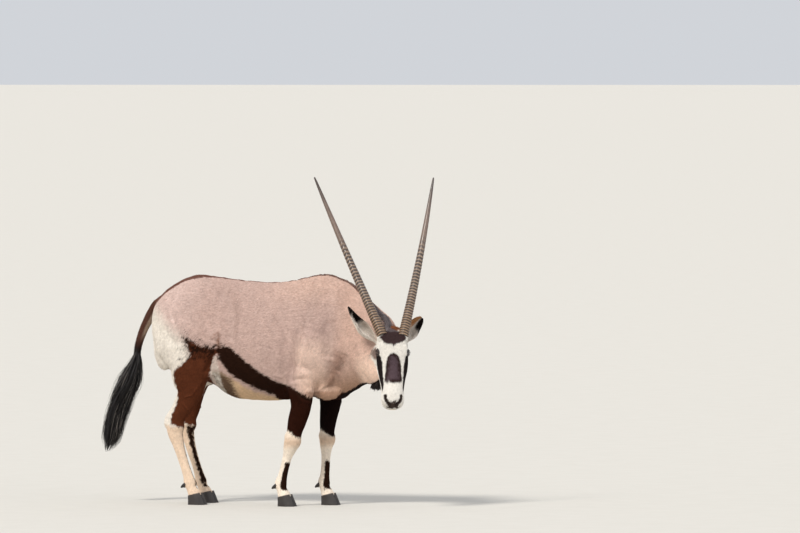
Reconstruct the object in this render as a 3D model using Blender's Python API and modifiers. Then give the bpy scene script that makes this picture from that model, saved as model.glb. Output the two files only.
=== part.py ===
"""Gemsbok, life size, standing, with its head lowered and turned to its right.

Metres, +Z up. While it is being built +X points from rump to chest, +Y to the
animal's left and the floor is at Z = 0. The last step moves everything so that
the middle of the bottom of its box is at the origin.
"""

import math
import random

import bmesh
import bpy
import numpy as np
from mathutils import Matrix, Vector
from mathutils.bvhtree import BVHTree

# Driving sizes

GAP = 0.0003
AXES = ((1, 0, 0), (0, 1, 0), (0, 0, 1))
BODY_VOXEL = 0.0075
HEAD_VOXEL = 0.0034
BODY_FACES = 3350
HEAD_FACES = 2250

POLL = Vector((0.786, -0.220, 0.910))
FACE_TURN = math.radians(28.0)
FACE_TILT = math.radians(17.0)
FACE_ROLL = math.radians(1.3)
EYE_ALONG = 0.102
EYE_OUT = 0.0665
EYE_RISE = -0.016
EYE_RADIUS = 0.0190

HORN_BASE_RADIUS = 0.0265
HORN_TIP_RADIUS = 0.0035
HORN_THINNING = 0.70
HORN_ROOT_OUT = 0.0535
HORN_RINGS = 23
HORN_RINGED_SHARE = 0.62
HORN_SIDES = 10

EAR_HALF_WIDTH = 0.039
EAR_NARROWING_RIGHT = 0.5
EAR_THICKNESS = 0.0045
EAR_ROLL_RIGHT = math.radians(58.0)

CORONET_HEIGHT = 0.056
CORONET_SLOPE = math.tan(math.radians(14.0))
CLAW_LENGTH = 0.096
CLAW_WIDTH = 0.0350
CLAW_CLEFT = 0.0030

FRONT_CUT_HEIGHT = 0.5300
HIND_CUT_HEIGHT = 0.5750
NECK_CUT_PLACE = 0.4350
NECK_HEADING = math.radians(-48.0)
NECK_CUT_TILT = math.radians(28.8)
NECK_CUT_BACK = 0.034
LEG_BOX = (0.20, 0.105)

TAIL_STEPS = 40
DOCK_STEPS = 17
TUFT_START = 13
DOCK_SHARES = (0.0, 0.1, 0.35, 0.5)
DOCK_RADII = (0.034, 0.027, 0.017, 0.013)
TUFT_SHARES = (0.0, 0.12, 0.30, 0.60, 0.88, 1.0)
TUFT_RADII = (0.021, 0.050, 0.061, 0.056, 0.044, 0.014)
TUFT_CORE_END = 0.55
TUFT_CORE_SHARE = 0.62
TUFT_LOCKS = 19

MANE_LOCKS = 26
MANE_START = 0.170
MANE_END = 0.735
MANE_LENGTH = 0.052
MANE_RISE = 0.24
THROAT_LOCKS = 11
THROAT_X = (0.628, 0.686)
THROAT_LENGTH = 0.028

# Sections of the trunk: x, top, bottom, height of the widest place, half width, roundness of top and bottom

TRUNK = (
    (-0.640, 1.024, 0.850, 0.940, 0.050, 2.0, 2.0),
    (-0.618, 1.069, 0.780, 0.935, 0.098, 2.0, 2.0),
    (-0.570, 1.116, 0.710, 0.930, 0.142, 1.9, 2.0),
    (-0.500, 1.162, 0.668, 0.930, 0.176, 1.8, 2.0),
    (-0.400, 1.196, 0.650, 0.930, 0.196, 1.7, 2.0),
    (-0.300, 1.190, 0.622, 0.900, 0.198, 1.65, 2.0),
    (-0.200, 1.177, 0.560, 0.850, 0.207, 1.65, 2.0),
    (-0.100, 1.167, 0.546, 0.820, 0.220, 1.7, 2.1),
    (0.010, 1.161, 0.543, 0.810, 0.229, 1.7, 2.1),
    (0.120, 1.167, 0.550, 0.815, 0.222, 1.65, 2.1),
    (0.220, 1.187, 0.562, 0.820, 0.198, 1.6, 2.1),
    (0.300, 1.202, 0.562, 0.830, 0.176, 1.55, 2.0),
    (0.380, 1.194, 0.556, 0.850, 0.158, 1.6, 2.0),
    (0.450, 1.155, 0.580, 0.860, 0.134, 1.75, 2.0),
    (0.500, 1.080, 0.640, 0.860, 0.100, 2.0, 2.0),
    (0.530, 1.000, 0.720, 0.860, 0.055, 2.0, 2.0),
)

# Muscles of the trunk and neck, on both sides: x, z, half depth, half height, lean in degrees, height

TRUNK_MUSCLES = (
    (0.325, 1.010, 0.085, 0.170, -20, 0.014),
    (0.322, 0.805, 0.090, 0.150, -6, 0.040),
    (0.430, 0.800, 0.070, 0.120, 10, 0.020),
    (0.193, 0.800, 0.032, 0.160, 4, -0.017),
    (-0.330, 1.040, 0.110, 0.075, 20, 0.013),
    (-0.440, 0.910, 0.150, 0.180, 0, 0.020),
    (-0.275, 0.800, 0.080, 0.110, -18, 0.020),
    (-0.185, 0.985, 0.075, 0.120, 0, -0.014),
    (-0.060, 0.760, 0.130, 0.120, 0, 0.006),
)

NECK_MUSCLES = (
    (0.430, 0.790, 0.075, 0.120, 10, 0.020),
    (0.560, 0.760, 0.120, 0.060, 60, 0.010),
    (0.560, 0.930, 0.130, 0.070, 60, 0.008),
    (0.600, 0.845, 0.130, 0.030, 60, -0.006),
)

# Sections of the neck: x, y, top, bottom, height of the widest place, half width, roundness

NECK = (
    (0.250, 0.000, 1.180, 0.620, 0.900, 0.150, 1.7, 2.0),
    (0.360, 0.000, 1.188, 0.560, 0.870, 0.152, 1.7, 2.0),
    (0.470, -0.010, 1.158, 0.591, 0.850, 0.140, 1.75, 1.9),
    (0.560, -0.040, 1.088, 0.636, 0.830, 0.126, 1.8, 1.9),
    (0.640, -0.080, 1.034, 0.634, 0.820, 0.113, 1.8, 1.9),
    (0.705, -0.125, 1.001, 0.650, 0.805, 0.096, 1.7, 1.9),
    (0.750, -0.168, 0.964, 0.676, 0.790, 0.077, 1.6, 2.0),
    (0.779, -0.203, 0.924, 0.716, 0.790, 0.060, 1.7, 2.0),
)

# Sections of the head from the back of the skull to the lips: along, brow line, jaw line, widest, half width

HEAD = (
    (-0.045, -0.030, -0.110, -0.070, 0.046, 2.0, 2.0),
    (-0.018, 0.000, -0.145, -0.065, 0.066, 2.0, 2.0),
    (0.020, 0.018, -0.160, -0.055, 0.078, 2.1, 1.9),
    (0.062, 0.027, -0.166, -0.045, 0.081, 2.1, 1.7),
    (0.102, 0.030, -0.164, -0.038, 0.083, 2.1, 1.6),
    (0.145, 0.029, -0.154, -0.040, 0.082, 2.0, 1.7),
    (0.190, 0.025, -0.136, -0.042, 0.078, 2.0, 1.8),
    (0.240, 0.019, -0.116, -0.042, 0.0670, 2.0, 2.0),
    (0.288, 0.013, -0.101, -0.040, 0.0600, 2.1, 2.1),
    (0.323, 0.007, -0.093, -0.041, 0.0580, 2.2, 2.2),
    (0.348, -0.002, -0.089, -0.043, 0.0590, 2.3, 2.3),
    (0.369, -0.012, -0.086, -0.047, 0.0560, 2.3, 2.3),
    (0.384, -0.026, -0.083, -0.054, 0.0440, 2.2, 2.2),
    (0.392, -0.040, -0.078, -0.060, 0.0260, 2.0, 2.0),
)

# Sections of the legs from the trunk to the coronet: x, y, z, half depth, half width

FRONT_RIGHT = (
    (0.255, -0.112, 0.780, 0.090, 0.048),
    (0.240, -0.142, 0.690, 0.090, 0.054),
    (0.243, -0.143, 0.600, 0.070, 0.053),
    (0.239, -0.137, 0.520, 0.055, 0.046),
    (0.214, -0.130, 0.440, 0.049, 0.039),
    (0.197, -0.125, 0.385, 0.041, 0.036),
    (0.186, -0.122, 0.345, 0.042, 0.039),
    (0.172, -0.120, 0.305, 0.037, 0.035),
    (0.157, -0.118, 0.262, 0.0260, 0.0245),
    (0.140, -0.116, 0.205, 0.0240, 0.0205),
    (0.125, -0.114, 0.150, 0.0265, 0.0220),
    (0.116, -0.113, 0.115, 0.0330, 0.0275),
    (0.121, -0.113, 0.088, 0.0265, 0.0260),
    (0.132, -0.113, 0.062, 0.0330, 0.0320),
    (0.139, -0.113, 0.040, 0.0360, 0.0330),
)

FRONT_LEFT = (
    (0.300, 0.110, 0.780, 0.090, 0.048),
    (0.297, 0.138, 0.690, 0.086, 0.054),
    (0.296, 0.139, 0.600, 0.070, 0.052),
    (0.292, 0.132, 0.520, 0.056, 0.045),
    (0.283, 0.126, 0.440, 0.045, 0.038),
    (0.279, 0.123, 0.385, 0.039, 0.036),
    (0.277, 0.121, 0.345, 0.0385, 0.038),
    (0.276, 0.119, 0.305, 0.033, 0.034),
    (0.274, 0.118, 0.262, 0.0255, 0.0240),
    (0.272, 0.117, 0.205, 0.0240, 0.0205),
    (0.268, 0.116, 0.150, 0.0260, 0.0220),
    (0.264, 0.115, 0.115, 0.0330, 0.0275),
    (0.270, 0.115, 0.088, 0.0265, 0.0260),
    (0.282, 0.115, 0.062, 0.0330, 0.0320),
    (0.289, 0.115, 0.040, 0.0360, 0.0330),
)

HIND_RIGHT = (
    (-0.425, -0.080, 0.980, 0.180, 0.085),
    (-0.418, -0.112, 0.880, 0.186, 0.082),
    (-0.389, -0.132, 0.790, 0.158, 0.073),
    (-0.378, -0.142, 0.715, 0.124, 0.064),
    (-0.384, -0.143, 0.645, 0.098, 0.055),
    (-0.386, -0.139, 0.590, 0.076, 0.047),
    (-0.406, -0.134, 0.540, 0.060, 0.041),
    (-0.438, -0.129, 0.490, 0.047, 0.036),
    (-0.466, -0.126, 0.445, 0.044, 0.034),
    (-0.478, -0.124, 0.405, 0.045, 0.034),
    (-0.473, -0.122, 0.360, 0.039, 0.032),
    (-0.460, -0.120, 0.315, 0.031, 0.0275),
    (-0.440, -0.118, 0.250, 0.0265, 0.0230),
    (-0.418, -0.117, 0.185, 0.0255, 0.0215),
    (-0.403, -0.116, 0.140, 0.0285, 0.0235),
    (-0.396, -0.116, 0.112, 0.0335, 0.0275),
    (-0.387, -0.116, 0.085, 0.0270, 0.0260),
    (-0.373, -0.116, 0.060, 0.0330, 0.0315),
    (-0.366, -0.116, 0.040, 0.0360, 0.0325),
)

FAR_HIND_HEIGHTS = (0.00, 0.15, 0.45, 0.50, 0.55, 0.60, 0.66, 0.72, 0.80, 0.90)
FAR_HIND_BACK = (0.034, 0.038, 0.040, 0.056, 0.086, 0.100, 0.088, 0.048, 0.012, 0.000)

# Colours of the coat and horn, sRGB

TAN = "CAAC9F"
NECK_TAN = "CCAC98"
WHITE = "E6DDD2"
BROWN = "4D2915"
BLACK = "1E1512"
CREAM = "D3B8A2"
HORN = "8A7462"
HOOF = "2B2624"
EYE = "150E0B"


def clear_scene():
    """Removes whatever the scene starts with and makes the two collections."""
    for thing in list(bpy.data.objects):
        bpy.data.objects.remove(thing, do_unlink=True)
    for name in ("gemsbok", "cutters"):
        bpy.context.scene.collection.children.link(bpy.data.collections.new(name))


# Curves and sections


def flowing(rows, between):
    """Sections filled in by a smooth cubic through the given ones, `between` steps to each."""
    rows = np.array(rows, float)
    steps = np.linalg.norm(np.diff(rows[:, :3], axis=0), axis=1)
    at = np.concatenate([[0.0], np.cumsum(steps)])
    slopes = np.gradient(rows, at, axis=0)
    out = []
    for i in range(len(rows) - 1):
        span = at[i + 1] - at[i]
        for k in range(between):
            t = k / between
            a = 2 * t**3 - 3 * t**2 + 1
            b = t**3 - 2 * t**2 + t
            c = 3 * t**2 - 2 * t**3
            d = t**3 - t**2
            out.append(a * rows[i] + b * span * slopes[i] + c * rows[i + 1] + d * span * slopes[i + 1])
    out.append(rows[-1])
    return np.array(out)


def rounded(angle, power):
    """Cosine and sine pulled out to a superellipse of this power."""
    c = np.cos(angle)
    s = np.sin(angle)
    return np.sign(c) * np.abs(c) ** (2 / power), np.sign(s) * np.abs(s) ** (2 / power)


def section(centre, side, rise, half, up, down, power_up, power_down, around):
    """One closed section: half its width each side, up and down its height from the widest place."""
    angle = np.arange(around) * 2 * math.pi / around
    high = rounded(angle, power_up)
    low = rounded(angle, power_down)
    across = np.where(angle <= math.pi, high[0], low[0])
    along = np.where(angle <= math.pi, high[1] * up, low[1] * down)
    return centre + np.outer(across * half, side) + np.outer(along, rise)


def upright_rings(rows, around):
    """Upright sections square to the path that x and y draw."""
    heading = np.gradient(rows[:, :2], axis=0)
    heading /= np.linalg.norm(heading, axis=1)[:, None]
    rings = []
    for row, ahead in zip(rows, heading):
        x, y, top, bottom, widest, half, power_up, power_down = row
        side = np.array([-ahead[1], ahead[0], 0.0])
        rise = np.array([0.0, 0.0, 1.0])
        centre = np.array([x, y, widest])
        up = top - widest
        down = widest - bottom
        rings.append(section(centre, side, rise, half, up, down, power_up, power_down, around))
    return np.array(rings)


def swelled(rings, muscles):
    """Rings pushed sideways by soft round muscles, and drawn in where a height is below nothing."""
    rings = rings.copy()
    middle = rings.mean(axis=1, keepdims=True)
    offset = rings[:, :, 1] - middle[:, :, 1]
    fade = np.clip(np.abs(offset) / 0.07, 0.0, 1.0) * np.sign(offset)
    push = np.zeros(offset.shape)
    for x, z, deep, high, tilt, height in muscles:
        lean = math.radians(tilt)
        dx = rings[:, :, 0] - x
        dz = rings[:, :, 2] - z
        along = (dz * math.cos(lean) + dx * math.sin(lean)) / high
        across = (dx * math.cos(lean) - dz * math.sin(lean)) / deep
        push += height * np.exp(-1.3 * (along**2 + across**2) ** 1.3)
    rings[:, :, 1] += push * fade
    return rings


def limb_rings(rows, around):
    """Sections square to the path that the centres draw, deep along X and wide along Y."""
    ahead = np.gradient(rows[:, :3], axis=0)
    ahead /= np.linalg.norm(ahead, axis=1)[:, None]
    rings = []
    for row, way in zip(rows, ahead):
        deep = np.array([1.0, 0.0, 0.0]) - way * way[0]
        deep /= np.linalg.norm(deep)
        side = np.cross(way, deep)
        rings.append(section(row[:3], deep, side, row[3], row[4], row[4], 2.1, 2.1, around))
    return np.array(rings)


def head_point(along, rise, out):
    """A place given along the face from the poll, out through the brow, and to the animal's left."""
    ahead = np.array([math.sin(FACE_TURN), -math.cos(FACE_TURN), 0.0])
    up = np.array([0.0, 0.0, 1.0])
    left = np.array([-ahead[1], ahead[0], 0.0])
    down_face = math.sin(FACE_TILT) * ahead - math.cos(FACE_TILT) * up
    brow = math.cos(FACE_TILT) * ahead + math.sin(FACE_TILT) * up
    rolled = math.cos(FACE_ROLL) * down_face - math.sin(FACE_ROLL) * left
    aside = math.cos(FACE_ROLL) * left + math.sin(FACE_ROLL) * down_face
    return np.array(POLL) + along * rolled + rise * brow + out * aside


def head_way(along, rise, out):
    """A direction in the head's own axes."""
    return head_point(along, rise, out) - np.array(POLL)


def head_rings(rows, around):
    """Sections of the skull and muzzle, square to the face."""
    side = head_way(0, 0, 1)
    brow = head_way(0, 1, 0)
    rings = []
    for along, top, bottom, widest, half, power_up, power_down in rows:
        centre = head_point(along, widest, 0)
        up = top - widest
        down = widest - bottom
        rings.append(section(centre, side, brow, half, up, down, power_up, power_down, around))
    return np.array(rings)


# Meshes


def loft(rings):
    """Points and faces of a closed skin over a row of sections."""
    count, around = rings.shape[:2]
    faces = []
    for i in range(count - 1):
        for j in range(around):
            k = (j + 1) % around
            faces.append((i * around + j, i * around + k, (i + 1) * around + k, (i + 1) * around + j))
    faces.append(tuple(range(around - 1, -1, -1)))
    faces.append(tuple((count - 1) * around + j for j in range(around)))
    return rings.reshape(-1, 3), faces


def mesh_object(name, shapes):
    """One object that holds all the given skins, each facing out."""
    build = bmesh.new()
    for points, faces in shapes:
        made = [build.verts.new(p) for p in points]
        fresh = [build.faces.new([made[i] for i in face]) for face in faces]
        bmesh.ops.recalc_face_normals(build, faces=fresh)
    mesh = bpy.data.meshes.new(name)
    build.to_mesh(mesh)
    build.free()
    thing = bpy.data.objects.new(name, mesh)
    bpy.data.collections["gemsbok"].objects.link(thing)
    return thing


def blob(centre, radii, pitch=0.0, yaw=0.0):
    """An egg shaped muscle, tipped in the upright plane along X and turned about Z."""
    build = bmesh.new()
    turn = Matrix.Rotation(yaw, 4, "Z") @ Matrix.Rotation(pitch, 4, "Y")
    place = Matrix.Translation(centre) @ turn @ Matrix.Diagonal((*radii, 1.0))
    bmesh.ops.create_icosphere(build, subdivisions=3, radius=1.0, matrix=place)
    points = np.array([v.co[:] for v in build.verts])
    faces = [tuple(v.index for v in f.verts) for f in build.faces]
    build.free()
    return points, faces


def head_blob(along, rise, out, radii):
    """An egg in the head's own axes: radii along the face, out through the brow and sideways."""
    points, faces = blob((0, 0, 0), (1, 1, 1))
    axes = np.array([head_way(1, 0, 0), head_way(0, 1, 0), head_way(0, 0, 1)])
    return head_point(along, rise, out) + (points * radii) @ axes, faces


def rope(centres, radii, around=12):
    """A round tube of changing thickness along a path."""
    centres = np.array(centres, float)
    ahead = np.gradient(centres, axis=0)
    ahead /= np.linalg.norm(ahead, axis=1)[:, None]
    side = np.cross(ahead[0], [0.0, 1.0, 0.0])
    if np.linalg.norm(side) < 0.3:
        side = np.cross(ahead[0], [1.0, 0.0, 0.0])
    angle = np.arange(around) * 2 * math.pi / around
    rings = []
    for centre, way, radius in zip(centres, ahead, radii):
        side = side - way * side.dot(way)
        side /= np.linalg.norm(side)
        other = np.cross(way, side)
        rings.append(centre + radius * (np.outer(np.cos(angle), side) + np.outer(np.sin(angle), other)))
    return np.array(rings)


def evaluated(thing):
    """Applies the object's modifiers and removes them."""
    bpy.context.view_layer.update()
    graph = bpy.context.evaluated_depsgraph_get()
    mesh = bpy.data.meshes.new_from_object(thing.evaluated_get(graph))
    thing.modifiers.clear()
    thing.data = mesh
    return thing


def blended(thing, voxel, rounds, faces, firm):
    """One skin over all of an object's pieces, smoothed where they meet and thinned to this many faces."""
    remesh = thing.modifiers.new("skin", "REMESH")
    remesh.mode = "VOXEL"
    remesh.voxel_size = voxel
    evaluated(thing)
    group = thing.vertex_groups.new(name="flesh")
    for vertex in thing.data.vertices:
        group.add([vertex.index], firm(vertex.co), "REPLACE")
    soften = thing.modifiers.new("soften", "SMOOTH")
    soften.factor = 0.5
    soften.iterations = rounds
    soften.vertex_group = "flesh"
    evaluated(thing)
    thing.vertex_groups.clear()
    triangles = sum(len(p.vertices) - 2 for p in thing.data.polygons)
    thin = thing.modifiers.new("thin", "DECIMATE")
    thin.ratio = min(1.0, faces / triangles)
    return evaluated(thing)


def trunk_softness(place):
    """Full smoothing on the trunk, little on the slender legs."""
    return min(1.0, max(0.20, (place.z - 0.46) / 0.20))


def head_softness(place):
    """The same smoothing all over the head."""
    return 1.0


def boolean(thing, other, operation="DIFFERENCE", solver="EXACT"):
    """Applies one Boolean with another closed object."""
    cut = thing.modifiers.new("cut", "BOOLEAN")
    cut.operation = operation
    cut.object = other
    cut.solver = solver
    return evaluated(thing)


def fused(thing, shapes, solver="EXACT"):
    """Joins closed pieces to the object with one Boolean union on a collection of them."""
    pieces = bpy.data.collections.new("pieces")
    bpy.context.scene.collection.children.link(pieces)
    for i, shape in enumerate(shapes):
        piece = mesh_object(f"piece_{i}", [shape])
        bpy.data.collections["gemsbok"].objects.unlink(piece)
        pieces.objects.link(piece)
    join = thing.modifiers.new("join", "BOOLEAN")
    join.operation = "UNION"
    join.operand_type = "COLLECTION"
    join.collection = pieces
    join.solver = solver
    evaluated(thing)
    for piece in list(pieces.objects):
        bpy.data.objects.remove(piece, do_unlink=True)
    bpy.data.collections.remove(pieces)
    return keep_largest(thing)


def cutter(name, shapes):
    """A closed helper that the render and the solids leave out."""
    thing = mesh_object(name, shapes)
    bpy.data.collections["gemsbok"].objects.unlink(thing)
    bpy.data.collections["cutters"].objects.link(thing)
    thing.hide_render = True
    thing.display_type = "WIRE"
    return thing


def block(centre, ahead, side, rise, halves):
    """A box with its own axes, for parting nodes."""
    axes = np.array([ahead, side, rise], float) * np.array(halves, float)[:, None]
    signs = [(a, b, c) for a in (-1, 1) for b in (-1, 1) for c in (-1, 1)]
    corners = np.array(centre) + np.array(signs) @ axes
    faces = [(0, 1, 3, 2), (4, 6, 7, 5), (0, 4, 5, 1), (2, 3, 7, 6), (0, 2, 6, 4), (1, 5, 7, 3)]
    return corners, faces


def copy_of(thing, name):
    """A second object with its own mesh."""
    fresh = bpy.data.objects.new(name, thing.data.copy())
    bpy.data.collections["gemsbok"].objects.link(fresh)
    return fresh


def keep_largest(thing):
    """Drops every loose piece but the largest by volume."""
    build = bmesh.new()
    build.from_mesh(thing.data)
    left = set(build.verts)
    groups = []
    while left:
        start = next(iter(left))
        group = {start}
        edge = [start]
        while edge:
            vert = edge.pop()
            for link in vert.link_edges:
                other = link.other_vert(vert)
                if other not in group:
                    group.add(other)
                    edge.append(other)
        left -= group
        groups.append(group)

    def volume(group):
        faces = {f for v in group for f in v.link_faces}
        total = 0.0
        for face in faces:
            a = face.verts[0].co
            for i in range(1, len(face.verts) - 1):
                total += a.dot(face.verts[i].co.cross(face.verts[i + 1].co))
        return abs(total)

    groups.sort(key=volume)
    drop = [v for group in groups[:-1] for v in group]
    bmesh.ops.delete(build, geom=drop, context="VERTS")
    build.to_mesh(thing.data)
    build.free()
    return thing


def finish(thing, colour, roughness=0.85, smooth=True):
    """Gives the node its own finish and shading."""
    material = bpy.data.materials.new(thing.name + "_finish")
    material.use_nodes = True
    shader = material.node_tree.nodes["Principled BSDF"]
    part = [int(colour[i : i + 2], 16) / 255 for i in (0, 2, 4)]
    linear = [c / 12.92 if c <= 0.04045 else ((c + 0.055) / 1.055) ** 2.4 for c in part]
    shader.inputs["Base Color"].default_value = (*linear, 1.0)
    shader.inputs["Roughness"].default_value = roughness
    thing.data.materials.clear()
    thing.data.materials.append(material)
    thing.data.polygons.foreach_set("use_smooth", [smooth] * len(thing.data.polygons))
    return thing


# The trunk, neck, legs and head as overlapping forms


def trunk_shapes():
    """The barrel, the withers, the croup and the muscles of shoulder and haunch."""
    rows = [(row[0], 0.0, *row[1:]) for row in TRUNK]
    rings = swelled(upright_rings(flowing(rows, 6), 72), TRUNK_MUSCLES)
    shapes = [loft(rings)]
    for side in (-1, 1):
        shapes.append(blob((0.350, side * 0.052, 0.606), (0.095, 0.056, 0.058)))
        shapes.append(blob((-0.530, side * 0.085, 0.860), (0.080, 0.062, 0.170), math.radians(8)))
    return shapes


def neck_shapes():
    """The neck with the muscle that runs from jaw to shoulder."""
    return [loft(swelled(upright_rings(flowing(NECK, 5), 56), NECK_MUSCLES))]


def lock_rings(centres, across, width, thick):
    """A flat tapered lock along a path: broad side `across`, drawn in to a point at its end."""
    share = np.linspace(0.0, 1.0, len(centres))
    taper = np.interp(share, (0.0, 0.35, 0.7, 1.0), (0.80, 1.0, 0.72, 0.05))
    ahead = np.gradient(centres, axis=0)
    ahead /= np.linalg.norm(ahead, axis=1)[:, None]
    across = across - ahead * (across * ahead).sum(axis=1)[:, None]
    across /= np.linalg.norm(across, axis=1)[:, None]
    out = np.cross(ahead, across)
    wide = across * (taper * width / 2)[:, None]
    deep = out * np.maximum(taper * thick / 2, 0.0004)[:, None]
    return np.stack([centres + wide, centres + deep, centres - wide, centres - deep], axis=1)


def mane_locks(tree):
    """The short mane: flat locks laid back along the crest, by turns a little to each side."""
    draw = random.Random(5)
    crest = flowing([(row[0], 0.0, row[1]) for row in TRUNK[7:13]] + [row[:3] for row in NECK[2:]], 4)
    step = (MANE_END - MANE_START) / MANE_LOCKS
    up = np.array([0.0, 0.0, 1.0])
    shapes = []
    for i in range(MANE_LOCKS):
        x = MANE_START + step * (i + 0.5)
        y, y_next = np.interp((x, x + step), crest[:, 0], crest[:, 1])
        ahead = np.array([step, y_next - y, 0.0]) / math.hypot(step, y_next - y)
        side = np.array([-ahead[1], ahead[0], 0.0])
        hand = 1 if i % 2 else -1
        near, far = [on_skin(tree, (p[0], p[1], 1.5), (p[0], p[1], 0.6)) for p in
                     ((x, y), (x - ahead[0] * 0.04, y - ahead[1] * 0.04))]
        back = (far - near) / np.linalg.norm(far - near)
        length = MANE_LENGTH * float(np.interp(x, (MANE_START, 0.30, MANE_END), (0.7, 1.0, 1.0)))
        length *= draw.uniform(0.88, 1.12)
        t = np.linspace(-0.30, 1.0, 4)[:, None]
        lift = t * (MANE_RISE + draw.uniform(0.0, 0.08)) * 1.25 - 0.07 * np.clip(t, 0, 1) ** 2
        centres = near + length * (t * back + lift * up + side * hand * (0.07 + 0.10 * t))
        roll = math.radians(draw.uniform(30.0, 55.0)) * hand
        broad = np.tile(side * math.cos(roll) - up * math.sin(roll), (len(centres), 1))
        shapes.append(loft(lock_rings(centres, broad, 0.030, 0.0085)))
    return shapes


def throat_locks(tree):
    """The tuft of the throat: hanging locks in two rows on the underside of the neck."""
    draw = random.Random(9)
    shapes = []
    for i in range(THROAT_LOCKS):
        share = (i + 0.5) / THROAT_LOCKS
        x = THROAT_X[0] + (THROAT_X[1] - THROAT_X[0]) * share
        y = float(np.interp(x, [row[0] for row in NECK], [row[1] for row in NECK]))
        y += (0.010 if i % 2 else -0.010) + draw.uniform(-0.003, 0.003)
        start = on_skin(tree, (x, y, 0.4), (x, y, 0.9))
        length = THROAT_LENGTH * (0.72 + 0.40 * math.sin(math.pi * share)) * draw.uniform(0.9, 1.1)
        t = np.linspace(-0.30, 1.0, 5)[:, None]
        bend = np.clip(t, 0.0, 1.0) ** 1.6
        aside = (0.22 if i % 2 else -0.22) * draw.uniform(0.4, 1.2)
        down = np.array([0.0, 0.0, -1.0])
        back = np.array([-1.0, 0.3, 0.0])
        centres = start + length * (t * down + bend * back * 0.42 + t * np.array([0.0, aside, 0.0]))
        broad = np.tile(np.array([0.75, -0.55, 0.2]), (len(centres), 1))
        shapes.append(loft(lock_rings(centres, broad, 0.025, 0.0080)))
    return shapes


def leg_shapes(rows, hind):
    """A leg from the trunk down to the coronet."""
    side = 1 if rows[0][1] > 0 else -1
    shapes = [loft(limb_rings(flowing(rows, 3), 20))]
    if hind:
        hock = np.array(rows[8][:3])
        top = np.array(rows[5][:3]) + np.array([-0.040, 0.0, 0.0])
        heel = hock + np.array([-0.052, 0.0, 0.000])
        path = [top + (heel - top) * t for t in np.linspace(0, 1, 6)]
        shapes.append(loft(rope(path, [0.030, 0.022, 0.016, 0.014, 0.015, 0.018])))
        shapes.append(blob(heel + np.array([0.004, 0.0, -0.012]), (0.022, 0.021, 0.040), math.radians(12)))
        shapes.append(blob(hock + np.array([-0.004, 0.0, -0.035]), (0.046, 0.0375, 0.050)))
    else:
        knee = np.array(rows[6][:3])
        shapes.append(blob(knee + np.array([0.010, 0.0, 0.0]), (0.036, 0.040, 0.050)))
        shapes.append(blob(knee + np.array([-0.024, 0.0, 0.016]), (0.020, 0.022, 0.030)))
        elbow = np.array(rows[1][:3])
        shapes.append(blob(elbow + np.array([-0.068, side * 0.006, 0.010]), (0.034, 0.032, 0.050)))
    return shapes


def head_shapes():
    """The skull, brows, cheeks, lids, lips and chin."""
    shapes = [loft(head_rings(flowing(HEAD, 3), 28))]
    for side in (-1, 1):
        brow_out = side * (EYE_OUT - 0.013)
        shapes.append(head_blob(EYE_ALONG - 0.006, EYE_RISE + 0.006, brow_out, (0.046, 0.026, 0.027)))
        shapes.append(head_blob(0.150, -0.100, side * 0.047, (0.080, 0.056, 0.027)))
        shapes.append(head_blob(0.022, -0.012, side * 0.050, (0.034, 0.026, 0.032)))
        shapes.append(head_blob(0.343, -0.030, side * 0.033, (0.034, 0.026, 0.026)))
        shapes.append(head_blob(0.343, -0.062, side * 0.033, (0.038, 0.020, 0.025)))
        shapes.append(lid_ring(side))
    shapes.append(head_blob(0.358, -0.080, 0.0, (0.028, 0.014, 0.030)))
    return shapes


def eye_axis(side):
    """The way an eye looks: outwards, a little forwards and a little down the face."""
    way = head_way(0.10, 0.36, side * 0.93)
    return way / np.linalg.norm(way)


def lid_ring(side):
    """The lids as one soft ring around an eye."""
    centre = head_point(EYE_ALONG, EYE_RISE, side * EYE_OUT)
    way = eye_axis(side)
    along = head_way(1, 0, 0)
    along = along - way * along.dot(way)
    along /= np.linalg.norm(along)
    across = np.cross(way, along)
    turn = np.arange(17) * 2 * math.pi / 16
    rim = np.outer(np.cos(turn) * 0.0185, along) + np.outer(np.sin(turn) * 0.0150, across)
    path = centre + way * 0.0080 + rim
    rings = rope(path, [0.0050] * 17, 8)
    rings[-1] = rings[0]
    return loft(rings)


# Small pieces


def ear_frame(side):
    """Root, direction, length, open side and width direction of an ear."""
    if side < 0:
        root = head_point(0.027, -0.057, -0.077)
        tip = np.array([0.5810, -0.3240, 1.0440])
        cup = np.array([0.420, -0.860, -0.350])
        roll = EAR_ROLL_RIGHT
    else:
        root = head_point(0.024, -0.057, 0.077)
        tip = np.array([0.8832, -0.0530, 0.9840])
        cup = np.array([0.700, -0.700, -0.150])
        roll = 0.0
    ahead = tip - root
    length = np.linalg.norm(ahead)
    ahead /= length
    cup = cup - ahead * cup.dot(ahead)
    cup /= np.linalg.norm(cup)
    cup = cup * math.cos(roll) + np.cross(ahead, cup) * math.sin(roll)
    return root, ahead, length, cup, np.cross(ahead, cup)


def ear_half_width(share, side):
    """Half the width of an ear along its length: narrow root, broad middle, rounded point."""
    rise = max(share, 0.0)
    swell = math.sin(math.pi / 2 * min(1.0, rise / 0.45)) ** 1.2
    end = math.sqrt(max(1.0 - max(0.0, (rise - 0.45) / 0.56) ** 2, 0.012))
    narrowing = EAR_NARROWING_RIGHT if side < 0 else 0.0
    end *= 1.0 - narrowing * max(0.0, rise - 0.4) / 0.6
    return EAR_HALF_WIDTH * (0.36 + 0.64 * swell) * end


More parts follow.
